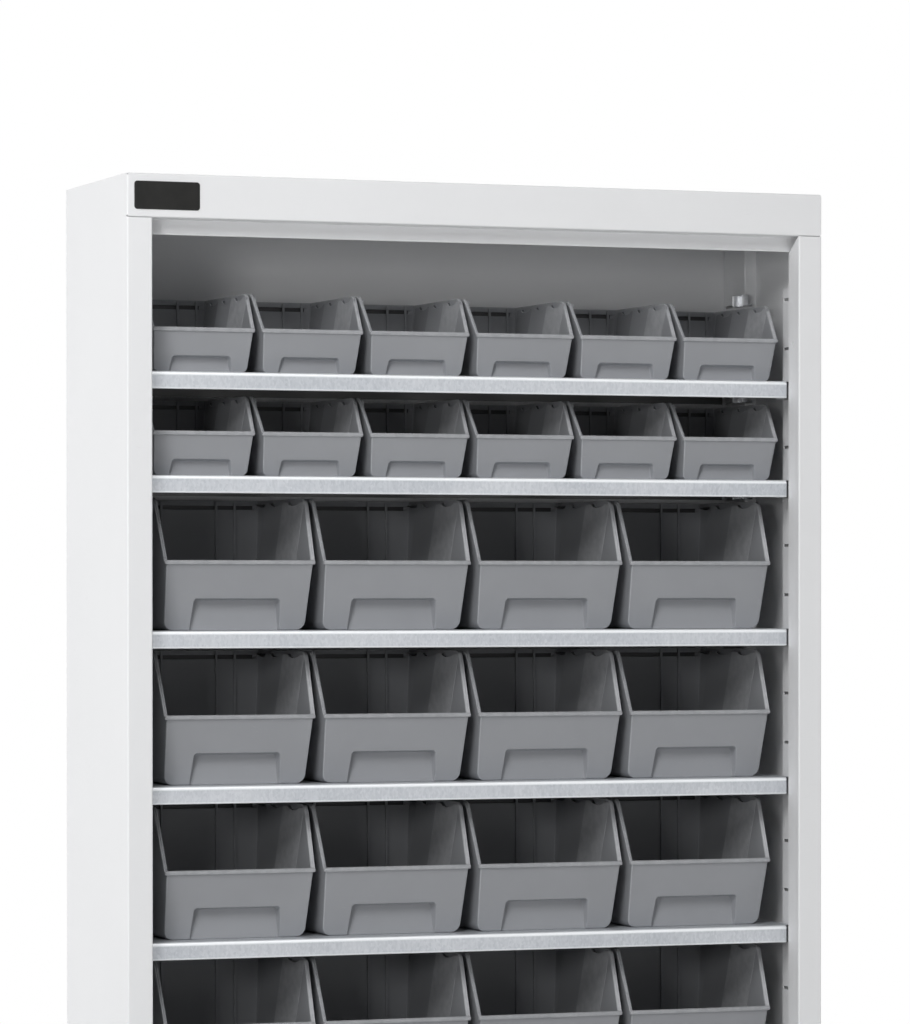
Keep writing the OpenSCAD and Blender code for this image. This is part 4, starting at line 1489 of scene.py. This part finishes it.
@dataclass(frozen=True)
class SoftLight:
    """One soft box: where it hangs, what it looks at, its size in metres and its power in watts."""

    name: str
    place: Point
    aim: Point
    size: tuple[float, float]
    power: float

    def build(self) -> None:
        """Makes the lamp."""
        data = bpy.data.lights.new(self.name, "AREA")
        data.shape = "RECTANGLE"
        data.size, data.size_y = self.size
        data.energy = self.power
        lamp = bpy.data.objects.new(self.name, data)
        lamp.location = self.place
        lamp.rotation_euler = (Vector(self.aim) - Vector(self.place)).to_track_quat("-Z", "Y").to_euler()
        bpy.context.scene.collection.objects.link(lamp)
        log.info("%s at %.0f W", self.name, self.power)


@dataclass(frozen=True)
class Studio:
    """A white studio: a pale floor, a white surround, and soft boxes at the front left and all round."""

    ambient: float = 0.08
    floor_grey: float = 0.82
    floor_half: float = 20.0
    lights: tuple[SoftLight, ...] = (
        SoftLight("front_key", (-2.2, -3.2, 2.75), (0.0, 0.0, 0.6), (1.4, 1.7), 80.0),
        SoftLight("low_front", (-2.7, -3.6, 0.95), (0.0, 0.0, 0.6), (0.8, 0.6), 27.0),
        SoftLight("high_front", (-0.4, -2.0, 3.2), (0.0, 0.0, 0.6), (2.6, 1.4), 25.0),
        SoftLight("left_side", (-3.2, 1.2, 1.2), (0.0, 0.0, 0.5), (1.8, 1.8), 40.0),
        SoftLight("right_side", (3.3, 0.6, 1.6), (0.0, 0.0, 0.5), (1.8, 1.8), 36.0),
        SoftLight("behind", (0.9, 3.6, 2.2), (0.0, 0.0, 0.5), (2.0, 1.8), 60.0),
    )

    def build(self) -> None:
        """Makes the floor, the world and the lamps, with the plain view transform."""
        bpy.context.scene.view_settings.view_transform = "Standard"
        self._floor()
        self._world()
        for light in self.lights:
            light.build()

    @staticmethod
    def _seen(graph: Graph) -> bpy.types.NodeSocket:
        """1 for rays from the camera, from glossy surfaces and through clear ones."""
        path = graph.node("ShaderNodeLightPath")
        seen = graph.maths("MAXIMUM", path.outputs["Is Camera Ray"], path.outputs["Is Glossy Ray"])
        return graph.maths("MAXIMUM", seen, path.outputs["Is Transmission Ray"])

    def _floor(self) -> None:
        """A large flat floor, pale and shadowed near the cabinet and plain white farther off."""
        mesh = bpy.data.meshes.new("studio_floor")
        half = self.floor_half
        corners = [(-half, -half, 0.0), (half, -half, 0.0), (half, half, 0.0), (-half, half, 0.0)]
        mesh.from_pydata(corners, [], [(0, 1, 2, 3)])
        floor = bpy.data.objects.new("studio_floor", mesh)
        bpy.context.scene.collection.objects.link(floor)
        material, g, shader = new_material("studio_floor")
        grey = self.floor_grey
        shader.inputs["Base Color"].default_value = rgba(grey, grey, grey)
        shader.inputs["Roughness"].default_value = 0.8
        white = g.node("ShaderNodeEmission")
        distance = g.node("ShaderNodeVectorMath", operation="LENGTH")
        g.feed(distance.inputs[0], g.place())
        far = g.remap(distance.outputs["Value"], 1.0, 1.9, 0.0, 1.0)
        mix = g.node("ShaderNodeMixShader")
        g.feed(mix.inputs[0], g.maths("MULTIPLY", far, self._seen(g)))
        g.feed(mix.inputs[1], shader.outputs["BSDF"])
        g.feed(mix.inputs[2], white.outputs["Emission"])
        output = next(n for n in material.node_tree.nodes if n.type == "OUTPUT_MATERIAL")
        g.feed(output.inputs["Surface"], mix.outputs["Shader"])
        mesh.materials.append(material)

    def _world(self) -> None:
        """White where it is seen, and a dimmer grey as light on the object."""
        world = bpy.data.worlds.new("studio_world")
        bpy.context.scene.world = world
        world.use_nodes = True
        world.node_tree.nodes.clear()
        g = Graph(world.node_tree)
        sky = g.node("ShaderNodeBackground")
        g.feed(sky.inputs["Strength"], g.remap(self._seen(g), 0.0, 1.0, self.ambient, 1.0))
        sky.inputs["Color"].default_value = rgba(1.0, 1.0, 1.0)
        output = g.node("ShaderNodeOutputWorld")
        g.feed(output.inputs["Surface"], sky.outputs["Background"])


def main() -> None:
    """Builds the dressed cabinet, sub-assembly by sub-assembly."""
    logging.basicConfig(level=logging.INFO, format="%(message)s")
    for old in list(bpy.data.objects):
        bpy.data.objects.remove(old)
    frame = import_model()
    PhotoCamera().build()
    sizes = CabinetSizes()
    finishes = Finishes()
    Studio().build()
    Carcass(sizes).build(finishes, frame["nodes"])
    ShelfSet(sizes).build(finishes)
    ClipSet(sizes).build(finishes)
    BinSet(sizes).build(finishes)


if __name__ == "__main__":
    main()
